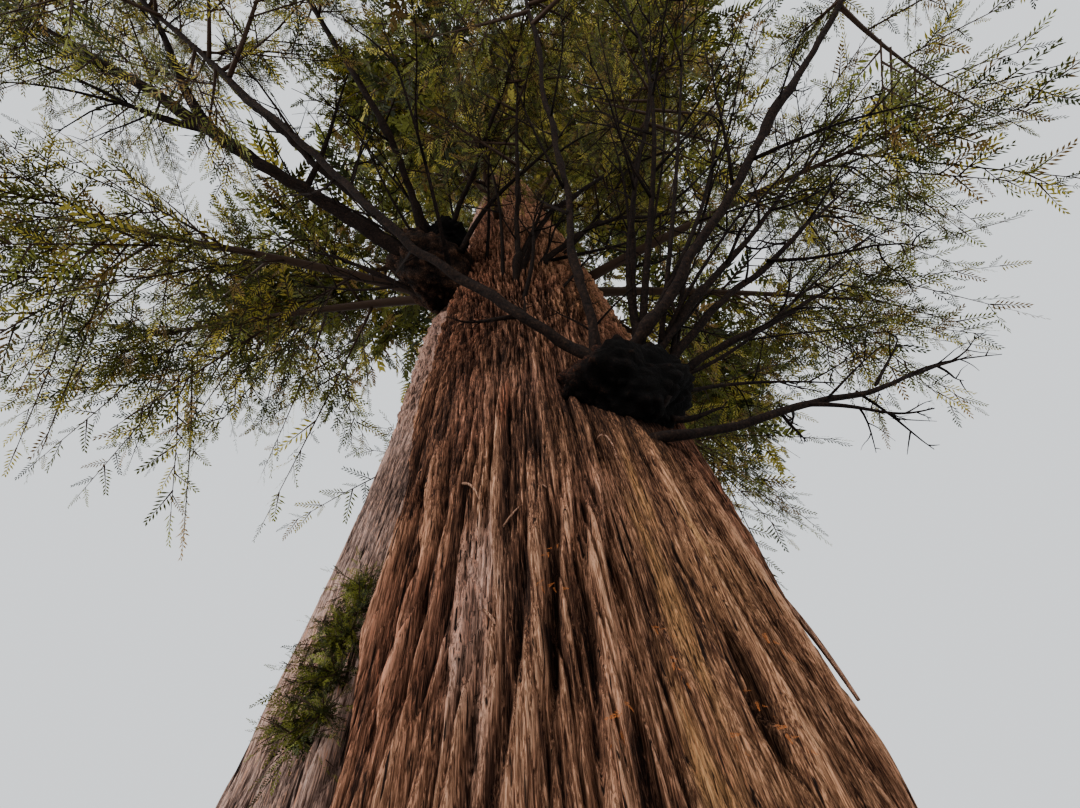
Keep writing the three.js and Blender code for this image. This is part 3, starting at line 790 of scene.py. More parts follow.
boughs = {                     # root, azimuth and rise, bare length, radius, swerve, reach of the leafy part
    "crossing_bough": ((0.8, -1.8, 5.35), -147, 38, 5.4, 0.055, -0.03, 4.4),
    "overhead_bough": ((0.62, -1.98, 5.85), -91, 55, 4.2, 0.045, 0, 4.6),
    "long_right_bough": ((0.97, -1.85, 5.65), -41, 37, 4.5, 0.055, 0, 4.4),
    "upright_bough": ((1.15, -1.68, 5.9), -67, 60, 3.5, 0.045, -0.04, 3.8),
    "low_right_bough": ((1, -1.55, 4.72), 5, 20, 3.85, 0.042, 0.015, 0),
    "dead_bough_1": ((1.32, -1.62, 5.75), -21, 35, 3.9, 0.045, -0.02, 0),
    "dead_bough_2": ((1.25, -1.76, 5.86), -30, 36, 3.6, 0.04, 0, 0),
    "dead_bough_3": ((1.46, -1.5, 5.72), -9, 28, 2.6, 0.045, -0.02, 0),
    "left_bough": ((-1.75, -1.75, 10.6), -144, 15, 4.15, 0.15, 0, 3.4),
    "left_rising_bough": ((-1.55, -1.95, 10.7), -142, 34, 5.3, 0.09, -0.02, 3.8),
    "left_upright_bough": ((-1.6, -2, 11.1), -112, 33, 4.3, 0.08, 0.04, 3.6),
    "left_inner_bough": ((-1.3, -1.9, 11), -59, 38, 3.1, 0.055, 0.02, 3.6),
    "dead_bough_4": ((-2, -1.45, 10.2), -158, 17, 2, 0.045, 0.02, 0),
    "front_bough_1": ((0, -1.72, 9), -81, 60, 2.3, 0.055, 0, 4.4),
    "front_bough_2": ((0.25, -1.7, 9.6), -36, 56, 2.5, 0.055, -0.08, 3.4),
    "front_bough_3": ((0.6, -1.6, 10), -10, 45, 2.6, 0.055, -0.08, 3.8),
}
shoots = [                     # root, azimuth, rise, length, radius: thin ones that the solids leave out
    ((1.12, -1.72, 5.85), -71, 51, 5.4, 0.032), ((1.18, -1.7, 5.85), -68, 54, 4.5, 0.026),
    ((1.22, -1.66, 5.85), -69, 47, 5.2, 0.03), ((0.95, -1.8, 5.9), -77, 63, 4.2, 0.035),
    ((1.25, -1.62, 5.8), -27, 62, 2.0, 0.028), ((1.2, -1.75, 5.75), -32, 46, 4.1, 0.024),
    ((1.4, -1.5, 5.4), 13, 18, 2.0, 0.022), ((0.75, -1.9, 5.6), -57, 80, 1.6, 0.05),
    ((1.2, -1.7, 5.8), -11, 52, 1.4, 0.03), ((1.3, -1.62, 5.6), -16, 29, 3.3, 0.022),
    ((1.0, -1.85, 5.6), -47, 50, 5.0, 0.03), ((1.25, -1.65, 5.7), -52, 57, 4.3, 0.026),
    ((1.4, -1.45, 5.15), 2, 14, 0.26, 0.035), ((-1.9, -1.5, 10.1), -169, 30, 1.8, 0.025),
    ((-1.95, -1.5, 10.2), 178, 20, 3.0, 0.028), ((-1.36, -1.73, 10.49), -152, 19, 4.0, 0.03),
    ((-1.2, -1.7, 10.9), -130, 42, 4.4, 0.04), ((-1.5, -1.75, 10.8), -118, 30, 3.4, 0.03),
    ((0.09, -1.7, 8.2), -56, 69, 2.9, 0.035), ((0.53, -1.6, 8.4), -15, 54, 1.5, 0.03),
    ((0.57, -1.6, 10.4), -8, 24, 3.3, 0.035), ((-0.24, -1.7, 9.4), -99, 60, 4.0, 0.035),
    ((0.32, -1.65, 9.7), -35, 62, 2.2, 0.035), ((-0.5, -1.6, 11), -75, 45, 3.5, 0.035),
    ((-0.9, -1.5, 12), -100, 40, 3.2, 0.035), ((0.9, -1.4, 11.6), -35, 38, 3.4, 0.035),
    ((2.4, -1.42, 5.26), 9, 0, 1.2, 0.024), ((2.12, -1.45, 5.12), 54, -50, 0.32, 0.017),
    ((-4.88, -4, 11.63), -119, 30, 3.4, 0.1), ((-4.88, -4, 11.63), -155, 6, 3.2, 0.05),
    ((-4.88, -4, 11.63), -163, 4, 3.4, 0.04), ((-4.88, -4, 11.63), -149, 16, 2.8, 0.045),
    ((-3.48, -2.99, 11.17), -68, 45, 2.7, 0.06), ((0.95, -1.75, 5.85), -78, 50, 5.2, 0.045),
    ((-0.75, -2, 10.6), -38, 40, 3.6, 0.05), ((0.1, -1.7, 9.2), -50, 63, 2.2, 0.05),
    ((0.08, -2.27, 6.02), -172, -14, 0.62, 0.028), ((0.12, -2.24, 5.98), -95, 78, 0.45, 0.024),
]
branching = {
    # how many on a limb, their seed, and their length as a share of its own
    "orders": [(7, 3, 0.36), (3, 500, 0.5)],
    "along": (0.3, 0.97),
    "openAngle": (48, 30),     # degrees, for the first and the last on a limb
    "openScatter": 24,
    "shorter": (1.1, 0.4),     # the first's and the last's share of that length
    "lengths": (0.4, 1.3),
    "spacing": (0.2, 0.8),     # where in its own share of the limb each may stand
    "thickest": 0.5,           # share of the limb's radius
    "radius": (0.0066, 0.011), # m, and as much more for each m of length
    "wander": 0.12,
    "tipShare": 0.25,
    "steps": 6,
    "sides": 3,
    "clear": 0.15,             # m, none ends nearer than this to the bole
}
shootForm = {
    "snap": 0.2,               # m, a shoot that begins as near as this to a bough stands on it
    "sunk": (0.25, 0.01),      # m, into the bole, or into a bough
    "wander": 0.1,
    "tipShare": 0.22,
    "steps": 24,
    "sides": 8,
    "boughFrom": 0.12,         # share of a bough that its burl or the bole hides
}
boughForm = {
    "sunk": 0.45,              # m, into the burl or the bole
    "tipShare": 0.7,
    "collar": 0.5,             # how much thicker it is at its root, and how soon that ends
    "collarEnds": 14,
    "droop": 0.12,
    "stemBare": 0.08,          # share of the leafy part without twigs
    "slender": 0.94,           # its share of the solid's radius, to which the roughness adds
    "rough": 0.16,
    "crook": 0.05,             # m by which its middle line strays
    "leafyTip": 0.15,          # share of the leafy stem's radius left at its tip
    "bareTip": 0.1,
    "steps": 70,
    "stepsCrowd": 1.15,        # above 1 they stand closer near the root
    "leafySteps": 29,
    "sides": 12,
}
crown = {
    "count": 20,
    "lowest": 15.4,
    "highest": 60,
    "crowding": 1.05,          # above 1 the lower stems stand closer
    "firstAzimuth": -100,
    "width": 10,               # m of radius, at the height below
    "widthFrom": 12,
    "roundness": 1.6,
    "rise": (6, 60),           # degrees, the lowest stem and the highest
    "droop": 0.2,
    "stemBare": 0.26,          # share of a stem without twigs
    "sunk": 0.05,
    "stemRadius": (0.035, 0.014),      # m, and as much more for each m of reach
    "reaches": (0.8832, 1.0176),       # shares of the crown's width there that a stem reaches
}
lowStems = {                   # azimuth, height, reach of the leafy stems below the spiral
    "side_foliage_1": (-160, 12.2, 7), "side_foliage_2": (180, 14.2, 7.6),
    "side_foliage_3": (-22, 12.4, 6.2), "side_foliage_4": (6, 14, 7.2),
    "back_foliage_1": (34, 10, 3), "back_foliage_2": (74, 11, 6), "back_foliage_3": (104, 13, 6.6),
}
leader = {"azimuth": 200, "height": 61.3, "rise": 66, "reach": 2.5}


def crownRadius(height):
    # width (1 - (how far up the crown)^1.6)
    share = np.maximum(0, (height - crown["widthFrom"]) / (lifeHeight + 2 - crown["widthFrom"]))
    return crown["width"] * (1 - share ** crown["roundness"])


def boughPath(form, t):
    # a straight line from the sunk root, swung aside by a half sine
    root, azimuth, rise, length = form[:4]
    swerve = form[5]
    heading, side = headingOf(azimuth, rise), headingOf(azimuth + 90, 0)
    whole = length + boughForm["sunk"]
    start = np.array(root) - heading * boughForm["sunk"]
    t = np.asarray(t)[..., None]
    return start + heading * whole * t + side * whole * swerve * np.sin(np.pi * t)


def leafyStems():
    # one row for each mass of leaves, in the solids' own order, which gives each its seed
    rows = []
    for name, form in boughs.items():
        if form[-1]:
            heading = unit(boughPath(form, 1.0) - boughPath(form, 0.999))
            rows.append((f"{name}_foliage", boughPath(form, 1.0), heading, form[-1],
                         form[4] * boughForm["tipShare"], boughForm["stemBare"], boughForm["droop"], False))

    def addOnBole(name, azimuth, height, rise, reach):
        start = headingOf(azimuth, 0) * (flutedRadius(azimuth, height) - crown["sunk"]) + upward * height
        least, more = crown["stemRadius"]
        rows.append((name, start, headingOf(azimuth, rise), reach, least + more * reach,
                     crown["stemBare"], crown["droop"], True))

    for name, (azimuth, height, reach) in lowStems.items():
        addOnBole(name, azimuth, height, crown["rise"][0], reach)
    for k in range(crown["count"]):
        share = k / (crown["count"] - 1)
        height = between((crown["lowest"], crown["highest"]), share ** crown["crowding"])
        rise = between(crown["rise"], share)
        reach = (crownRadius(height) - boleRadius(height)) / np.cos(np.radians(rise))
        reach = reach * between(crown["reaches"], chance(k, 5))
        addOnBole(f"crown_foliage_{k + 1:02d}", crown["firstAzimuth"] + goldenAngle * k, height, rise, reach)
    addOnBole("crown_top_foliage", leader["azimuth"], leader["height"], leader["rise"], leader["reach"])
    labels = ("name", "start", "heading", "reach", "radius", "bare", "droop", "onBole")
    columns = {label: [row[number] for row in rows] for number, label in enumerate(labels)}
    names = columns.pop("name")
    stems = {label: np.array(column) for label, column in columns.items()}
    stems["seed"] = np.arange(len(rows)) + 1
    return names, stems


def stemPath(stems, owner, s):
    # start + heading reach s - up reach droop s^2
    reach, droop = stems["reach"][owner], stems["droop"][owner]
    s = np.asarray(s)
    return (stems["start"][owner] + stems["heading"][owner] * (reach * s)[..., None]
            - upward * (reach * droop * s * s)[..., None])


def lineGaps(points, lines):
    # distance from each point to the nearest place on each line of a few straight steps
    start, along = lines[:, :-1], np.diff(lines, axis=1)
    span = np.maximum(np.sum(along ** 2, -1), 1e-9)
    gaps = []
    for block in np.array_split(points, len(points) // 3000 + 1):
        apart = block[:, None, None] - start
        share = np.clip(np.sum(apart * along, -1) / span, 0, 1)
        gaps.append(np.linalg.norm(apart - along * share[..., None], axis=-1).min(-1))
    return np.concatenate(gaps)


stemNames, stems = leafyStems()
stemCount = len(stemNames)
everyStem = np.arange(stemCount)
stemLines = np.stack([stemPath(stems, everyStem, np.full(stemCount, s)) for s in np.linspace(0, 1, 6)], 1)
burlMiddles = [headingOf(form["azimuth"], 0) * form["distance"] + upward * form["height"]
               for form in burls.values()]
limbLines = np.array([[middle] * 6 for middle in burlMiddles]
                     + [boughPath(form, np.linspace(0, 1, 6)) for form in boughs.values()])
limbRadii = np.array([max(form["half"]) for form in burls.values()] + [form[4] for form in boughs.values()])
boxLow, boxHigh = (np.array(corner) / perLife for corner in cadBox)
clearance = {                  # m
    "trunk": 0.12,
    "limb": 0.03,
    "overlap": 0.35,
    "tip": 0.15,               # below the top of the tree
    "crown": 0.5,              # past the crown's own outline
    "box": 0.1,                # past the solids' box
}
fluted = 1.05                  # how much wider than round the flutes may make the bole


def inOwnSpace(points, owner):
    # nearer to its own stem than to any other, but for a little overlap, inside the crown, and
    # clear of bole, burls and boughs
    fromAxis, height = np.hypot(points[:, 0], points[:, 1]), points[:, 2]
    kept = (height < lifeHeight - clearance["tip"]) & (fromAxis < crownRadius(height) + clearance["crown"])
    kept &= ((points > boxLow - clearance["box"]) & (points < boxHigh + clearance["box"])).all(1)
    kept &= fromAxis > boleRadius(height) * fluted + clearance["trunk"]
    gaps = lineGaps(points, stemLines)
    own = gaps[np.arange(len(points)), owner]
    gaps[np.arange(len(points)), owner] = np.inf
    kept &= own < gaps.min(1) + clearance["overlap"]
    kept &= (lineGaps(points, limbLines) > limbRadii + clearance["limb"]).all(1)
    return kept


def limbTube(path, radiusAt, seed):
    # a limb whose middle line strays and whose radius is roughened, both by noise along it
    steps, sides = len(path), boughForm["sides"]
    length = np.linalg.norm(np.diff(path, axis=0), axis=1).sum()
    around = np.arange(sides)[None, :] / sides
    along = np.linspace(0, length, steps)[:, None]
    rough = noise(around * 4, along * 2.2, seed, 4) + 0.5 * noise(around * 6, along * 7, seed + 1, 6)
    knots = smooth(0.32, 0.5, noise(along * 1.7, 0.5, seed + 5)) + 0.4 * noise(along * 0.9, 0.5, seed + 6)
    radii = radiusAt[:, None] * (1 + boughForm["rough"] * rough + 0.3 * knots)
    stray = [noise(along * 0.9, 0.5, seed + 7 + axis) + 0.4 * noise(along * 2.6, 0.5, seed + 17 + axis)
             for axis in range(3)]
    free = np.minimum(1, along / 0.8) * np.minimum(1, (length - along) / 0.8)
    return tubes((path + boughForm["crook"] * free * np.hstack(stray))[None], radii[None], sides)


def pointsAlong(paths, which, share):
    # straight between the two nearest points of each chosen path
    place = share * (paths.shape[1] - 1)
    low = np.minimum(place.astype(int), paths.shape[1] - 2)
    return between((paths[which, low], paths[which, low + 1]), (place - low)[:, None])


def branchesOn(paths, radius, each, seed, lengthShare):
    # limbs given by their middle lines bear branches at the golden angle, shorter toward the tip
    limbs = len(paths)
    start, end = paths[:, 0], paths[:, -1]
    which, number = np.repeat(np.arange(limbs), each), np.tile(np.arange(each), limbs)
    share = (number + between(branching["spacing"], chance(seed + which, number))) / each
    heading = unit(end - start)[which]
    root = pointsAlong(paths, which, between(branching["along"], share))
    roll = np.radians(goldenAngle * number + 360 * chance(seed + which, 77))
    side = turned(unit(np.cross(upward, heading)), heading, roll)
    openAngle = np.radians(between(branching["openAngle"], share)
                           + scattered(seed + which, number + 9, branching["openScatter"]))[:, None]
    length = np.linalg.norm(end - start, axis=1)[which] * lengthShare * between(branching["shorter"], share)
    length = length * between(branching["lengths"], chance(seed + which, number + 31))
    tip = root + (heading * np.cos(openAngle) + side * np.sin(openAngle)) * length[:, None]
    clear = np.hypot(tip[:, 0], tip[:, 1]) > boleRadius(tip[:, 2]) + branching["clear"]
    least, more = branching["radius"]
    thick = np.minimum(branching["thickest"] * radius[which], least + more * length)
    return root[clear], tip[clear], thick[clear]


def straight(start, end, share):
    return start[:, None] + (end - start)[:, None] * share


def wandering(start, end, seed, steps, wander):
    # lines that stray from straight by two half waves of random size and direction
    share = np.linspace(0, 1, steps)[None, :, None]
    number = np.arange(len(start))
    length = np.linalg.norm(end - start, axis=1)[:, None, None]
    stray = 0
    for wave in (1, 2):
        shift = np.stack([scattered(seed + number, 10 * wave + axis) for axis in range(3)], 1)[:, None]
        stray = stray + shift * np.sin(np.pi * wave * share) / wave
    return straight(start, end, share) + stray * length * wander


def buildShoots(material):
    # tapering tubes on wandering lines. A shoot that begins near a bough stands on it, and all of
    # them and the boughs bear two orders of branches
    roots = np.array([row[0] for row in shoots])
    azimuth, rise, length, radius = np.array([row[1:] for row in shoots], dtype=float).T
    heading = headingOf(azimuth, rise)
    bareShare = np.linspace(shootForm["boughFrom"], 1, 200)
    line = np.concatenate([boughPath(form, bareShare) for form in boughs.values()])
    gap = np.linalg.norm(line[None] - roots[:, None], axis=2)
    onBough = gap.min(1) < shootForm["snap"]
    roots = np.where(onBough[:, None], line[gap.argmin(1)], roots)
    sunk = np.where(onBough, shootForm["sunk"][1], shootForm["sunk"][0])
    steps, sides = shootForm["steps"], shootForm["sides"]
    start, end = roots - heading * sunk[:, None], roots + heading * length[:, None]
    paths = wandering(start, end, 5, steps, shootForm["wander"])
    parts = [tubes(paths, tapering(radius, shootForm["tipShare"], steps), sides)]
    bareShare = np.linspace(shootForm["boughFrom"], 1, steps)
    paths = np.concatenate([[boughPath(form, bareShare) for form in boughs.values()], paths])
    thick = np.concatenate([[form[4] for form in boughs.values()], radius])
    grown = 0
    steps, sides = branching["steps"], branching["sides"]
    for each, seed, lengthShare in branching["orders"]:
        root, tip, thick = branchesOn(paths, thick, each, seed, lengthShare)
        paths = wandering(root, tip, seed + 37, steps, branching["wander"])
        parts.append(tubes(paths, tapering(thick, branching["tipShare"], steps), sides))
        grown += len(paths)
    points, faces, uv = joined(parts)
    meshPiece("bare_shoots", points, faces, material, values=evenBark(0.45), uv=uv)
    print(f"bare shoots: {len(shoots)}, {onBough.sum()} of them on boughs, with {grown} side branches")


def buildBoughs(material):
    # an even taper with a collar e^(-14 t) at the root, then the leafy stem's own to its tip
    groups = {
        "right_boughs": ["crossing_bough", "overhead_bough", "long_right_bough", "upright_bough",
                         "low_right_bough"],
        "left_boughs": ["left_bough", "left_rising_bough", "left_upright_bough", "left_inner_bough"],
        "front_boughs": ["front_bough_1", "front_bough_2", "front_bough_3"],
        "dead_boughs": ["dead_bough_1", "dead_bough_2", "dead_bough_3", "dead_bough_4"],
    }
    for seed, (piece, members) in enumerate(groups.items()):
        parts = []
        for number, name in enumerate(members):
            form = boughs[name]
            t = np.linspace(0, 1, boughForm["steps"]) ** boughForm["stepsCrowd"]
            path = boughPath(form, t)
            radius = form[4] * boughForm["slender"] * (1 - (1 - boughForm["tipShare"]) * t)
            radius = radius * (1 + boughForm["collar"] * np.exp(-boughForm["collarEnds"] * t))
            if form[-1]:
                stem = stemNames.index(name + "_foliage")
                s = np.linspace(0, 1, boughForm["leafySteps"] + 1)[1:]
                path = np.concatenate([path, stemPath(stems, np.full(len(s), stem), s)])
                shrunk = 1 - (1 - boughForm["leafyTip"]) * s
                radius = np.concatenate([radius, stems["radius"][stem] * shrunk])
            else:
                radius = radius * (1 - (1 - boughForm["bareTip"]) * t ** 3)
            parts.append(limbTube(path, radius, 40 * seed + 3 * number))
        points, faces, uv = joined(parts)
        meshPiece(piece, points, faces, material, members, values=evenBark(0.5), uv=uv)
    print(f"boughs: {len(boughs)} in {len(groups)} pieces")


boughLook = {
    "draw": 1.0,
    "fibre": 45.0,
    "crackBelow": 0.0,
    "contrast": 1.1,
    "lift": 0.0,
    "shift": 0.04,
    "bump": 0.008,
    "stops": [(0.2, (0.006, 0.004, 0.004)), (0.5, (0.02, 0.0115, 0.009)), (0.75, (0.055, 0.031, 0.021)),
              (1.0, (0.13, 0.08, 0.055))],
    "pale": (0.3, 0.22, 0.17),
    "ochre": (0.2, 0.14, 0.08),
    "red": (0.1, 0.04, 0.025),
}
boughMaterial = barkMaterial("bough bark", boughLook)
buildBoughs(boughMaterial)
buildShoots(boughMaterial)


# leaves: side twigs stand round each stem at the golden angle, fronds fork from each twig, and
# sprays of flat needles stand in two rows on each frond

growth = {
    "spread": 0.5,             # the longest twig's share of the stem's reach
    "narrowing": 0.55,         # how much shorter the last twig is
    "flatness": 0.3,           # and those that point up or down
    "openAngle": (66, 38),     # degrees from the stem to a twig, first and last
    "rollScatter": 50,
    "twigSag": 0.14,
    "twigRadius": 0.011,       # share of its length
    "sprayHang": 0.3,          # how far fronds hang
    "sprayFork": 52,           # degrees from a twig to its fronds
    "tilt": 62,                # degrees by which a frond's plane is turned, at most
    "frondLength": (0.44, 1.9),        # share of the stem's reach, and least m
    "sideTwigs": {True: 6, False: 5},  # on the bole, on a bough: as many as the solids have
    "boughFilling": 5,         # twigs grown here for each one of the solids
    "lowFilling": 3,
    "crownFilling": 5,
    "lastTwig": 0.95,
    "innerShare": 0.4,         # added twigs in the crown begin at this share of the stem's bare length
    "sparseBelow": 3.2,        # m, a shorter stem on the bole has no added twigs
    "openBelow": 0.2,          # a bough has no added twigs that point down by more than this
    # where each frond leaves its twig, and to which hand. The first two are the solids' own
    "frondsAlong": [(0.5, 1), (1.0, 1), (0.28, -1), (0.76, 1), (0.4, 1), (0.64, -1)],
    "lengths": (0.85, 1.15),
    "fillerTwig": 0.85,        # share of the solids' twigs and fronds that the added ones have
    "fillerFrond": 0.75,
    "laterFrond": 0.8,
    "frondFits": (0.5, 0.65, 0.8, 1.0),
}
farStem = np.array([name.startswith("crown") for name in stemNames])


def sideTwigs():
    # the solids' twigs, each with fillers beside it, spaced evenly round the stem. They are shorter
    # toward its tip and where they point up or down, and end drooping by a share of their length
    onBole = stems["onBole"]
    own = np.array([growth["sideTwigs"][bool(flag)] for flag in onBole])
    filling = np.where(onBole, growth["lowFilling"], growth["boughFilling"])
    filling = np.where(farStem, growth["crownFilling"], filling)
    filling = np.where(onBole & (stems["reach"] < growth["sparseBelow"]), 1, filling)
    counts = own * filling
    owner = np.repeat(everyStem, counts)
    number = np.concatenate([np.arange(count) for count in counts])
    index = number // filling[owner]
    filler = number % filling[owner] - filling[owner] // 2
    added = filler != 0
    share = (number + 0.5) / counts[owner]
    bare = stems["bare"][owner] * np.where(farStem[owner] & added, growth["innerShare"], 1)
    s = between((bare, growth["lastTwig"]), share)
    base = stemPath(stems, owner, s)
    heading = unit(stemPath(stems, owner, s + 1e-3) - stemPath(stems, owner, s - 1e-3))
    seed = stems["seed"][owner] + 0.31 * filler
    roll = np.radians(goldenAngle * index + 360 * filler / filling[owner]
                      + scattered(seed, 10 * index, growth["rollScatter"]))
    side = turned(unit(np.cross(upward, heading)), heading, roll)
    openAngle = np.radians(between(growth["openAngle"], share))
    length = (stems["reach"][owner] * growth["spread"] * (1 - growth["narrowing"] * share)
              * (1 - growth["flatness"] * np.abs(np.sin(roll)))
              * between(growth["lengths"], chance(seed, 10 * index + 1)))
    length = length * np.where(added, growth["fillerTwig"], 1)
    out = heading * np.cos(openAngle)[:, None] + side * np.sin(openAngle)[:, None]
    tip = base + (out - upward * growth["twigSag"]) * length[:, None]
    shaded = ~onBole[owner] & added & (side[:, 2] < -growth["openBelow"])
    kept = inOwnSpace(tip, owner) & inOwnSpace((base + tip) / 2, owner) & ~shaded
    rows = {"owner": owner, "index": index, "filler": filler, "seed": seed, "base": base, "tip": tip,
            "length": length}
    return only(rows, kept)


def sagged(start, end, sag, steps):
    # points along lines that bow upward in the middle by a share of their length
    share = np.linspace(0, 1, steps)[None, :, None]
    length = np.linalg.norm(end - start, axis=1)[:, None, None]
    return straight(start, end, share) + upward * length * sag * 4 * share * (1 - share)


def fronds(twigs):
    # each twig forks to a frond at every listed place along it, and each stem ends in one
    parts = []
    longest = np.maximum(growth["frondLength"][1], growth["frondLength"][0] * stems["reach"])
    owner, index = twigs["owner"], twigs["index"]
    for k, (along, hand) in enumerate(growth["frondsAlong"]):
        seed = twigs["seed"] + 0.17 * (k > 1)
        heading = unit(twigs["tip"] - twigs["base"])
        hand = np.where(chance(twigs["seed"], 10 * index + 2) < 0.5, 1, -1) * hand
        fork = np.radians(growth["sprayFork"]) * hand * (along < 1)
        heading = turned(heading, np.broadcast_to(upward, heading.shape), fork)
        draw = 10 * index + 3 + 2 * (k % 2)
        hanging = unit(heading - upward * growth["sprayHang"])
        tilt = np.radians(scattered(seed, draw + 1, 2 * growth["tilt"]))
        across = turned(unit(np.cross(upward, hanging)), hanging, tilt)
        length = longest[owner] * between(growth["lengths"], chance(seed, draw))
        length = length * np.where(twigs["filler"] == 0, 1, growth["fillerFrond"])
        length = length * (1 if k < 2 else growth["laterFrond"])
        parts.append({"owner": owner, "seed": seed + k, "heading": hanging, "across": across,
                      "root": between((twigs["base"], twigs["tip"]), along), "length": length})
    last = stemPath(stems, everyStem, np.ones(stemCount))
    heading = unit(last - stemPath(stems, everyStem, np.full(stemCount, 0.999)))
    heading = unit(heading - upward * growth["sprayHang"])
    parts.append({"owner": everyStem, "seed": stems["seed"] + 0.5, "heading": heading, "root": last,
                  "across": unit(np.cross(upward, heading)), "length": longest})
    grown = {label: np.concatenate([part[label] for part in parts]) for label in parts[0]}
    length = np.zeros(len(grown["owner"]))
    for fit in growth["frondFits"]:            # the longest that stays in its mass's own space
        tip = grown["root"] + grown["heading"] * (fit * grown["length"])[:, None]
        length = np.where(inOwnSpace(tip, grown["owner"]), fit * grown["length"], length)
    grown["length"] = length
    return only(grown, length > 0)


needles = {
    # sprays on a frond, pairs of needles on a spray, length of a spray, and of a needle and its width
    "near": {"sprays": 13, "pairs": 8, "sprayShare": 0.27, "needle": 0.27, "width": 0.056, "corners": 4},
    "far": {"sprays": 9, "pairs": 7, "sprayShare": 0.38, "needle": 0.34, "width": 0.12, "corners": 3},
    "firstSpray": 0.1,         # share of the frond below it
    "astray": 0.9,             # share of their spacing by which sprays are moved along it
    "sag": 0.1,
    "openAngle": (58, 32),     # degrees from the frond to a spray, first and last
    "openScatter": 34,
    "hang": 0.4,
    "planeScatter": 1.5,       # radians by which sprays turn out of their frond's plane
    "shorter": (1.05, 0.6),    # the first spray's and the last's share of the full length
    "lengths": (0.55, 1.45),
    "lean": (62, 24),          # degrees from the spray to a needle, first and last
    "firstNeedle": 0.6,        # spacings from the spray's root, and those on the other side by so much more
    "otherSide": 0.4,
    "needleShorter": (1.1, 0.55),
    "needleLengths": (0.8, 1.2),
    "needleScatter": 0.7,
    "widest": {4: 0.5, 3: 0.1},        # how far along a kite, or a triangle, is widest
}


def spraysOn(grown, look):
    # sprays leave the frond by turns to either side, shorter to its tip, each in a plane of its own
    count = look["sprays"]
    number = np.tile(np.arange(count), len(grown["owner"]))
    which = np.repeat(np.arange(len(grown["owner"])), count)
    ours = only(grown, which)
    seed, heading, across, length = (ours[label] for label in ("seed", "heading", "across", "length"))
    last = number == count - 1
    share = between((needles["firstSpray"], 1), number / (count - 1))
    share = share + np.where(last, 0, scattered(seed, number + 130, needles["astray"] / count))
    root = ours["root"] + heading * (length * share)[:, None]
    root = root - upward * (needles["sag"] * length * share ** 2)[:, None]
    hand = np.where(last, 0, np.where(number % 2 == 0, 1, -1))
    openAngle = (between(needles["openAngle"], share)
                 + scattered(seed, number + 50, needles["openScatter"])) * hand
    normal = np.cross(heading, across)
    direction = turned(heading, normal, np.radians(openAngle))
    direction = unit(direction - upward * (needles["hang"] * chance(seed, number + 70))[:, None])
    roll = scattered(seed, number + 90, needles["planeScatter"])
    plane = turned(unit(np.cross(normal, direction)), direction, roll)
    size = (length * look["sprayShare"] * between(needles["shorter"], share)
            * between(needles["lengths"], chance(seed, number + 110)))
    return {"owner": ours["owner"], "seed": seed + 0.37 * number, "root": root, "heading": direction,
            "across": plane, "length": size}


def needleMesh(sprays, look):
    # every needle is a kite, or far off a triangle, in two rows along the spray, shorter to its tip
    pairs, corners = look["pairs"], look["corners"]
    number = np.arange(2 * pairs)
    share = (number // 2 + needles["firstNeedle"] + needles["otherSide"] * (number % 2)) / pairs
    hand = np.where(number % 2 == 0, 1.0, -1.0)
    lean = np.radians(between(needles["lean"], share))
    seed, sprayLength = sprays["seed"][:, None], sprays["length"][:, None]
    length = (sprayLength * look["needle"] * between(needles["needleShorter"], share)
              * between(needles["needleLengths"], chance(seed, number + 7)))
    heading, across = sprays["heading"][:, None], sprays["across"][:, None]
    out = heading * np.cos(lean)[:, None] + across * (hand * np.sin(lean))[:, None]
    normal = np.cross(sprays["heading"], sprays["across"])[:, None]
    out = unit(out + normal * scattered(seed, number + 29, needles["needleScatter"])[..., None])
    flat = np.cross(normal, out)
    base = sprays["root"][:, None] + heading * (sprayLength * share)[..., None]
    half = sprayLength[..., None] * look["width"] / 2
    middle = base + out * (needles["widest"][corners] * length)[..., None]
    outline = [base, middle + flat * half, base + out * length[..., None], middle - flat * half]
    points = np.stack(outline[4 - corners:], 2).reshape(-1, 3)
    return points, np.arange(len(points)).reshape(-1, corners)


greens = {                     # plain base colour, and how many of a hundred sprays have it
    "dark": ((0.036, 0.046, 0.014), 22),
    "olive": ((0.088, 0.096, 0.022), 26),
    "mid": ((0.17, 0.18, 0.038), 22),
    "yellowish": ((0.36, 0.31, 0.068), 20),
    "brownish": ((0.2, 0.13, 0.046), 10),
}


def plainMaterial(name, colour, shine):
    return Graph(name).finish(BaseColor=colour, Roughness=0.6, SpecularIORLevel=shine)


def needlePiece(name, sprays, look, material, nodes=()):
    points, outlines = needleMesh(sprays, look)
    meshPiece(name, points, [outlines], material, nodes, smoothShade=False)
    return len(outlines) * (look["corners"] - 2)


def buildNeedles(region, sprays, look, nodes):
    # the sprays are dealt out to the greens by a draw from 0 to 100
    pick = chance(sprays["seed"], 3.3) * 100
    low = 0
    for green, form in greens.items():
        high = low + form[1]
        part = only(sprays, (pick >= low) & (pick < high))
        low = high
        count = needlePiece(f"{region}_needles_{green}", part, look, greenMaterials[green], nodes)
        print(f"{region} needles {green}: {len(part['owner'])} sprays, {count} triangles")


def buildSpines(region, sprays, nodes):
    # a thin flat triangle down the middle of each spray, wide at its root
    across = sprays["across"] * (twigForm["spine"][region] * sprays["length"])[:, None]
    root = sprays["root"]
    tip = root + sprays["heading"] * sprays["length"][:, None]
    points = np.stack([root - across, root + across, tip], 1).reshape(-1, 3)
    meshPiece(f"{region}_spray_spines", points, [np.arange(len(points)).reshape(-1, 3)], twigMaterial,
              nodes, smoothShade=False)


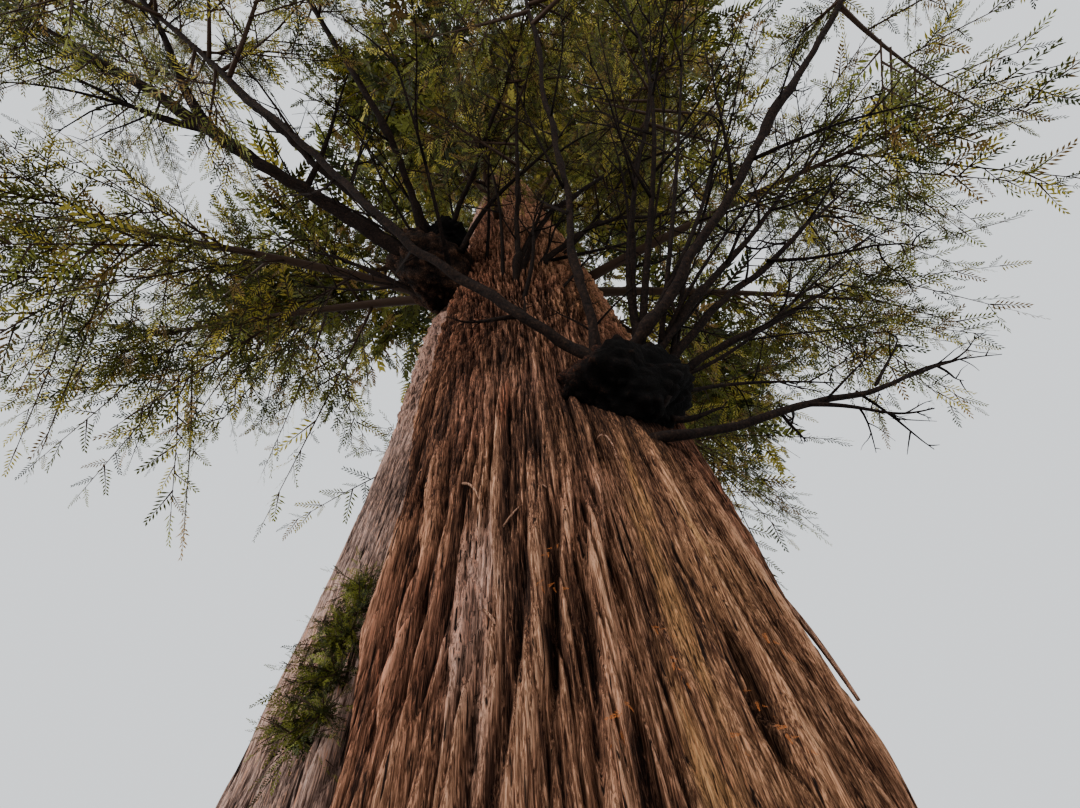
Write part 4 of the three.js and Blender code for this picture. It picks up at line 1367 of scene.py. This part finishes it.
twigForm = {
    "tipShare": 0.3,
    "twigSteps": 5,
    "twigSides": 4,
    "twigBow": 0.04,
    "twigLeast": 0.012,        # m of radius, besides the share of its length that growth gives
    "frondSteps": 3,
    "frondSides": 3,
    "frondRadius": (0.006, 0.004),     # share of its length, and least m
    "stemSteps": 24,
    "stemSides": 8,
    "stemTip": 0.2,
    "spine": {"near": 0.024, "far": 0.03},     # half width as a share of the spray's length
}


def buildTwigs(region, twigs, ours, ownStems, nodes):
    # tubes along the twigs, the fronds and the stems on the bole. Stems on boughs go with the boughs
    steps = twigForm["twigSteps"]
    paths = sagged(twigs["base"], twigs["tip"], twigForm["twigBow"], steps)
    radius = growth["twigRadius"] * twigs["length"] + twigForm["twigLeast"]
    parts = [tubes(paths, tapering(radius, twigForm["tipShare"], steps), twigForm["twigSides"])]
    steps = twigForm["frondSteps"]
    hung = ours["heading"] - upward * needles["sag"]
    paths = sagged(ours["root"], ours["root"] + hung * ours["length"][:, None], needles["sag"] / 4, steps)
    share, least = twigForm["frondRadius"]
    radius = tapering(share * ours["length"] + least, twigForm["tipShare"], steps)
    parts.append(tubes(paths, radius, twigForm["frondSides"]))
    steps = twigForm["stemSteps"]
    lines = [stemPath(stems, ownStems, np.full(len(ownStems), s)) for s in np.linspace(0, 1, steps)]
    radius = tapering(stems["radius"][ownStems], twigForm["stemTip"], steps)
    parts.append(tubes(np.stack(lines, 1), radius, twigForm["stemSides"]))
    points, faces, uv = joined(parts)
    meshPiece(f"{region}_twigs", points, faces, twigMaterial, nodes, uv=uv)


def buildFoliage():
    twigs = sideTwigs()
    grown = fronds(twigs)
    print(f"twigs {len(twigs['owner'])}, fronds {len(grown['owner'])}")
    for region, here in (("near", ~farStem), ("far", farStem)):
        look = needles[region]
        ours = only(grown, here[grown["owner"]])
        nodes = [stemNames[k] for k in everyStem[here]]
        sprays = spraysOn(ours, look)
        tips = sprays["root"] + sprays["heading"] * sprays["length"][:, None]
        sprays = only(sprays, inOwnSpace(tips, sprays["owner"]))
        buildNeedles(region, sprays, look, nodes)
        buildTwigs(region, only(twigs, here[twigs["owner"]]), ours, everyStem[stems["onBole"] & here], nodes)
        buildSpines(region, sprays, nodes)


twigMaterial = plainMaterial("twig bark", (0.045, 0.026, 0.017), 0.2)
greenMaterials = {green: plainMaterial(f"{green} needles", colour, 0.3)
                  for green, (colour, share) in greens.items()}
buildFoliage()


# small things on the bole: hanging strips of bark, fallen brown sprays and a few green sprouts

scraps = {
    # lines of points in m, from where each strip or dead twig still holds to its free end
    "strips": [
        ((1.5, -0.8, 3.88), (1.555, -0.84, 3.6), (1.57, -0.86, 3.35), (1.575, -0.875, 3.04)),
        ((-0.5, -1.8, 4.02), (-0.42, -1.95, 3.98), (-0.33, -1.95, 3.84), (-0.31, -1.84, 3.68)),
        ((-0.28, -1.8, 3.5), (-0.22, -1.93, 3.52), (-0.13, -1.96, 3.63), (-0.09, -1.88, 3.74)),
        ((-0.03, -1.8, 3.95), (-0.01, -1.93, 3.88), (0.05, -1.93, 3.8), (0.06, -1.86, 3.84)),
        ((-0.36, -1.82, 3.1), (-0.3, -1.98, 3.06), (-0.22, -1.98, 2.94), (-0.2, -1.9, 2.86)),
        ((0.42, -1.78, 4.4), (0.44, -1.93, 4.36), (0.5, -1.93, 4.22), (0.5, -1.84, 4.1)),
    ],
    "stripRadius": (0.03, 0.011, 0.009, 0.009, 0.011, 0.009),
    "stripTip": 0.35,
    "stripSteps": 14,
    "stripSides": 6,
    # azimuth, height and turn from straight down of each fallen spray
    "sprays": [(-80.1, 2.82, 70), (-78.9, 2.7, 20), (-72.7, 2.57, 48), (-76.2, 2.41, 30), (-71.2, 2.44, 60),
               (-84.5, 2.52, -20), (-92.5, 3.05, 80), (-66.4, 2.9, 40), (-88.2, 3.3, -50)],
    "sprayLength": 0.13,
    "sprayLengths": (0.7, 1.3),        # shares of it
    "sprayOff": 0.07,          # m that it lies off the bole's mean surface, on the ridges
    "fallenLook": {"sprays": 5, "pairs": 9},   # what differs from the needles near the camera
    "fallenColour": (0.42, 0.15, 0.05),
    # azimuth and height where green sprouts leave the flank
    "sprouts": [(-125, 3.6), (-121, 3.5), (-119.5, 3.35), (-124, 3.35), (-127, 3.3), (-119, 3.15),
                (-122, 3.15), (-125.5, 3.1), (-118.5, 2.95), (-121.5, 2.95), (-124, 2.85), (-118, 2.78),
                (-121, 2.72)],
    "sproutFronds": 13,
    "sproutLength": 0.19,
    "sproutLengths": (0.6, 1.4),
    "sproutSunk": 0.05,
    "sproutBow": 0.02,
    "sproutTurn": (-90, 130),  # degrees from where it stands on the bole, by which fronds turn
    "sproutRise": (60, -70),
    "sproutLook": {"sprays": 10, "pairs": 7, "sprayShare": 0.34, "width": 0.08},
    "sproutGreens": ("dark", "mid"),
    "sproutStem": (0.003, 0.4),        # m of radius, share left at the tip
}


def onBark(azimuth, height):
    # places on the bole's mean surface
    return headingOf(azimuth, 0) * flutedRadius(azimuth, height)[..., None] + height[..., None] * upward


def bowed(corners, steps):
    # a cubic Bezier curve through the first and last of four points, drawn toward the two between
    t = np.linspace(0, 1, steps)[:, None]
    first, second, third, last = np.array(corners)
    return ((1 - t) ** 3 * first + 3 * (1 - t) ** 2 * t * second + 3 * (1 - t) * t ** 2 * third
            + t ** 3 * last)


def buildStrips(material):
    steps = scraps["stripSteps"]
    paths = np.stack([bowed(corners, steps) for corners in scraps["strips"]])
    radius = tapering(scraps["stripRadius"], scraps["stripTip"], steps)
    points, faces, uv = joined([tubes(paths, radius, scraps["stripSides"])])
    meshPiece("bark_strips", points, faces, material, values=evenBark(0.8, pale=0.3), uv=uv)


def buildFallen():
    # fronds that lie flat on the bark, each turned from straight down by its own angle
    azimuth, height, turn = np.array(scraps["sprays"], dtype=float).T
    seed = np.arange(len(azimuth)) + 0.7
    outward, along = headingOf(azimuth, 0), headingOf(azimuth + 90, 0)
    turn = np.radians(turn)[:, None]
    down = along * np.sin(turn) - upward * np.cos(turn)
    fallen = {"owner": seed, "seed": seed, "root": onBark(azimuth, height) + outward * scraps["sprayOff"],
              "heading": down, "across": np.cross(outward, down),
              "length": scraps["sprayLength"] * between(scraps["sprayLengths"], chance(seed, 1))}
    look = {**needles["near"], **scraps["fallenLook"]}
    brown = plainMaterial("fallen needles", scraps["fallenColour"], 0.2)
    needlePiece("fallen_sprays", spraysOn(fallen, look), look, brown)


def buildSprouts():
    # tufts of short fronds that point every way off the bark
    azimuth, height = np.repeat(np.array(scraps["sprouts"], dtype=float), scraps["sproutFronds"], axis=0).T
    seed = np.arange(len(azimuth)) + 0.4
    heading = headingOf(azimuth + between(scraps["sproutTurn"], chance(seed, 2)),
                        between(scraps["sproutRise"], chance(seed, 3)))
    root = onBark(azimuth, height) - heading * scraps["sproutSunk"]
    length = scraps["sproutLength"] * between(scraps["sproutLengths"], chance(seed, 4))
    sprouts = {"owner": seed, "seed": seed, "root": root, "heading": heading,
               "across": unit(np.cross(upward, heading)), "length": length}
    look = {**needles["near"], **scraps["sproutLook"]}
    sprays = spraysOn(sprouts, look)
    for number, green in enumerate(scraps["sproutGreens"]):
        part = only(sprays, slice(number, None, len(scraps["sproutGreens"])))
        needlePiece(f"sprout_needles_{green}", part, look, greenMaterials[green])
    steps, sides = 4, 4
    paths = sagged(root, root + heading * length[:, None], scraps["sproutBow"], steps)
    thick, tipShare = scraps["sproutStem"]
    radius = tapering(np.full(len(paths), thick), tipShare, steps)
    points, faces, uv = joined([tubes(paths, radius, sides)])
    meshPiece("sprout_stems", points, faces, twigMaterial, uv=uv)


buildStrips(trunkMaterial)
buildFallen()
buildSprouts()
print(f"scraps: {len(scraps['strips'])} strips, {len(scraps['sprays'])} fallen sprays, "
      f"{len(scraps['sprouts'])} sprouts")


# floor, light and camera

studio = {
    "floor": 400.0,            # m of model across
    "sky": (0.86, 0.89, 0.92),
    "skyStrength": 1.0,
    # place and what it aims at in m of model, size across, power and colour
    "lamps": {"key": ((-22, -14, 9), (0, 0, 4), 12, 5000, (1, 0.97, 0.93)),
              "fill": ((12, -22, 12), (0, 0, 6), 14, 2600, (1, 0.95, 0.88))},
    "cameraAt": (0.0, -3.7, 1.6),      # life metres
    "azimuth": 87.7,
    "rise": 60.6,
    "roll": -8.16,
    "lens": 16.67,
}


def areaLight(name, place, aim, size, power, colour):
    lamp = bpy.data.lights.new(name, "AREA")
    lamp.shape = "DISK"
    lamp.size = size
    lamp.energy = power
    lamp.color = colour
    setAxes(linked(name, lamp), np.array(place, float), unit(np.array(aim, float) - place), 0)


def setAxes(holder, place, forward, roll):
    # an object that looks along forward, level but for its roll in degrees
    right = unit(np.cross(forward, upward))
    right = turned(right, forward, np.radians(-roll))
    matrix = np.eye(4)
    matrix[:3, 0] = right
    matrix[:3, 1] = np.cross(right, forward)
    matrix[:3, 2] = -forward
    matrix[:3, 3] = place
    holder.matrix_world = matrix.T


def buildStudio():
    world = bpy.data.worlds.new("studio")
    world.use_nodes = True
    background = world.node_tree.nodes["Background"]
    background.inputs["Color"].default_value = (*studio["sky"], 1)
    background.inputs["Strength"].default_value = studio["skyStrength"]
    bpy.context.scene.world = world
    bpy.context.scene.view_settings.look = "AgX - Medium High Contrast"
    half = studio["floor"] / 2
    mesh = bpy.data.meshes.new("floor")
    corners = [(-half, -half, 0), (half, -half, 0), (half, half, 0), (-half, half, 0)]
    mesh.from_pydata(corners, [], [(0, 1, 2, 3)])
    mesh.materials.append(plainMaterial("pale floor", (0.7, 0.7, 0.69), 0.3))
    floor = linked("floor", mesh)
    for name, lamp in studio["lamps"].items():
        areaLight(name, *lamp)
    camera = linked("camera", bpy.data.cameras.new("camera"))
    camera.data.lens = studio["lens"]
    camera.data.clip_end = 500
    forward = headingOf(studio["azimuth"], studio["rise"])
    setAxes(camera, np.array(studio["cameraAt"]) * perLife, forward, studio["roll"])
    bpy.context.scene.camera = camera


buildStudio()
print("studio: floor, world, 2 lamps and the camera")
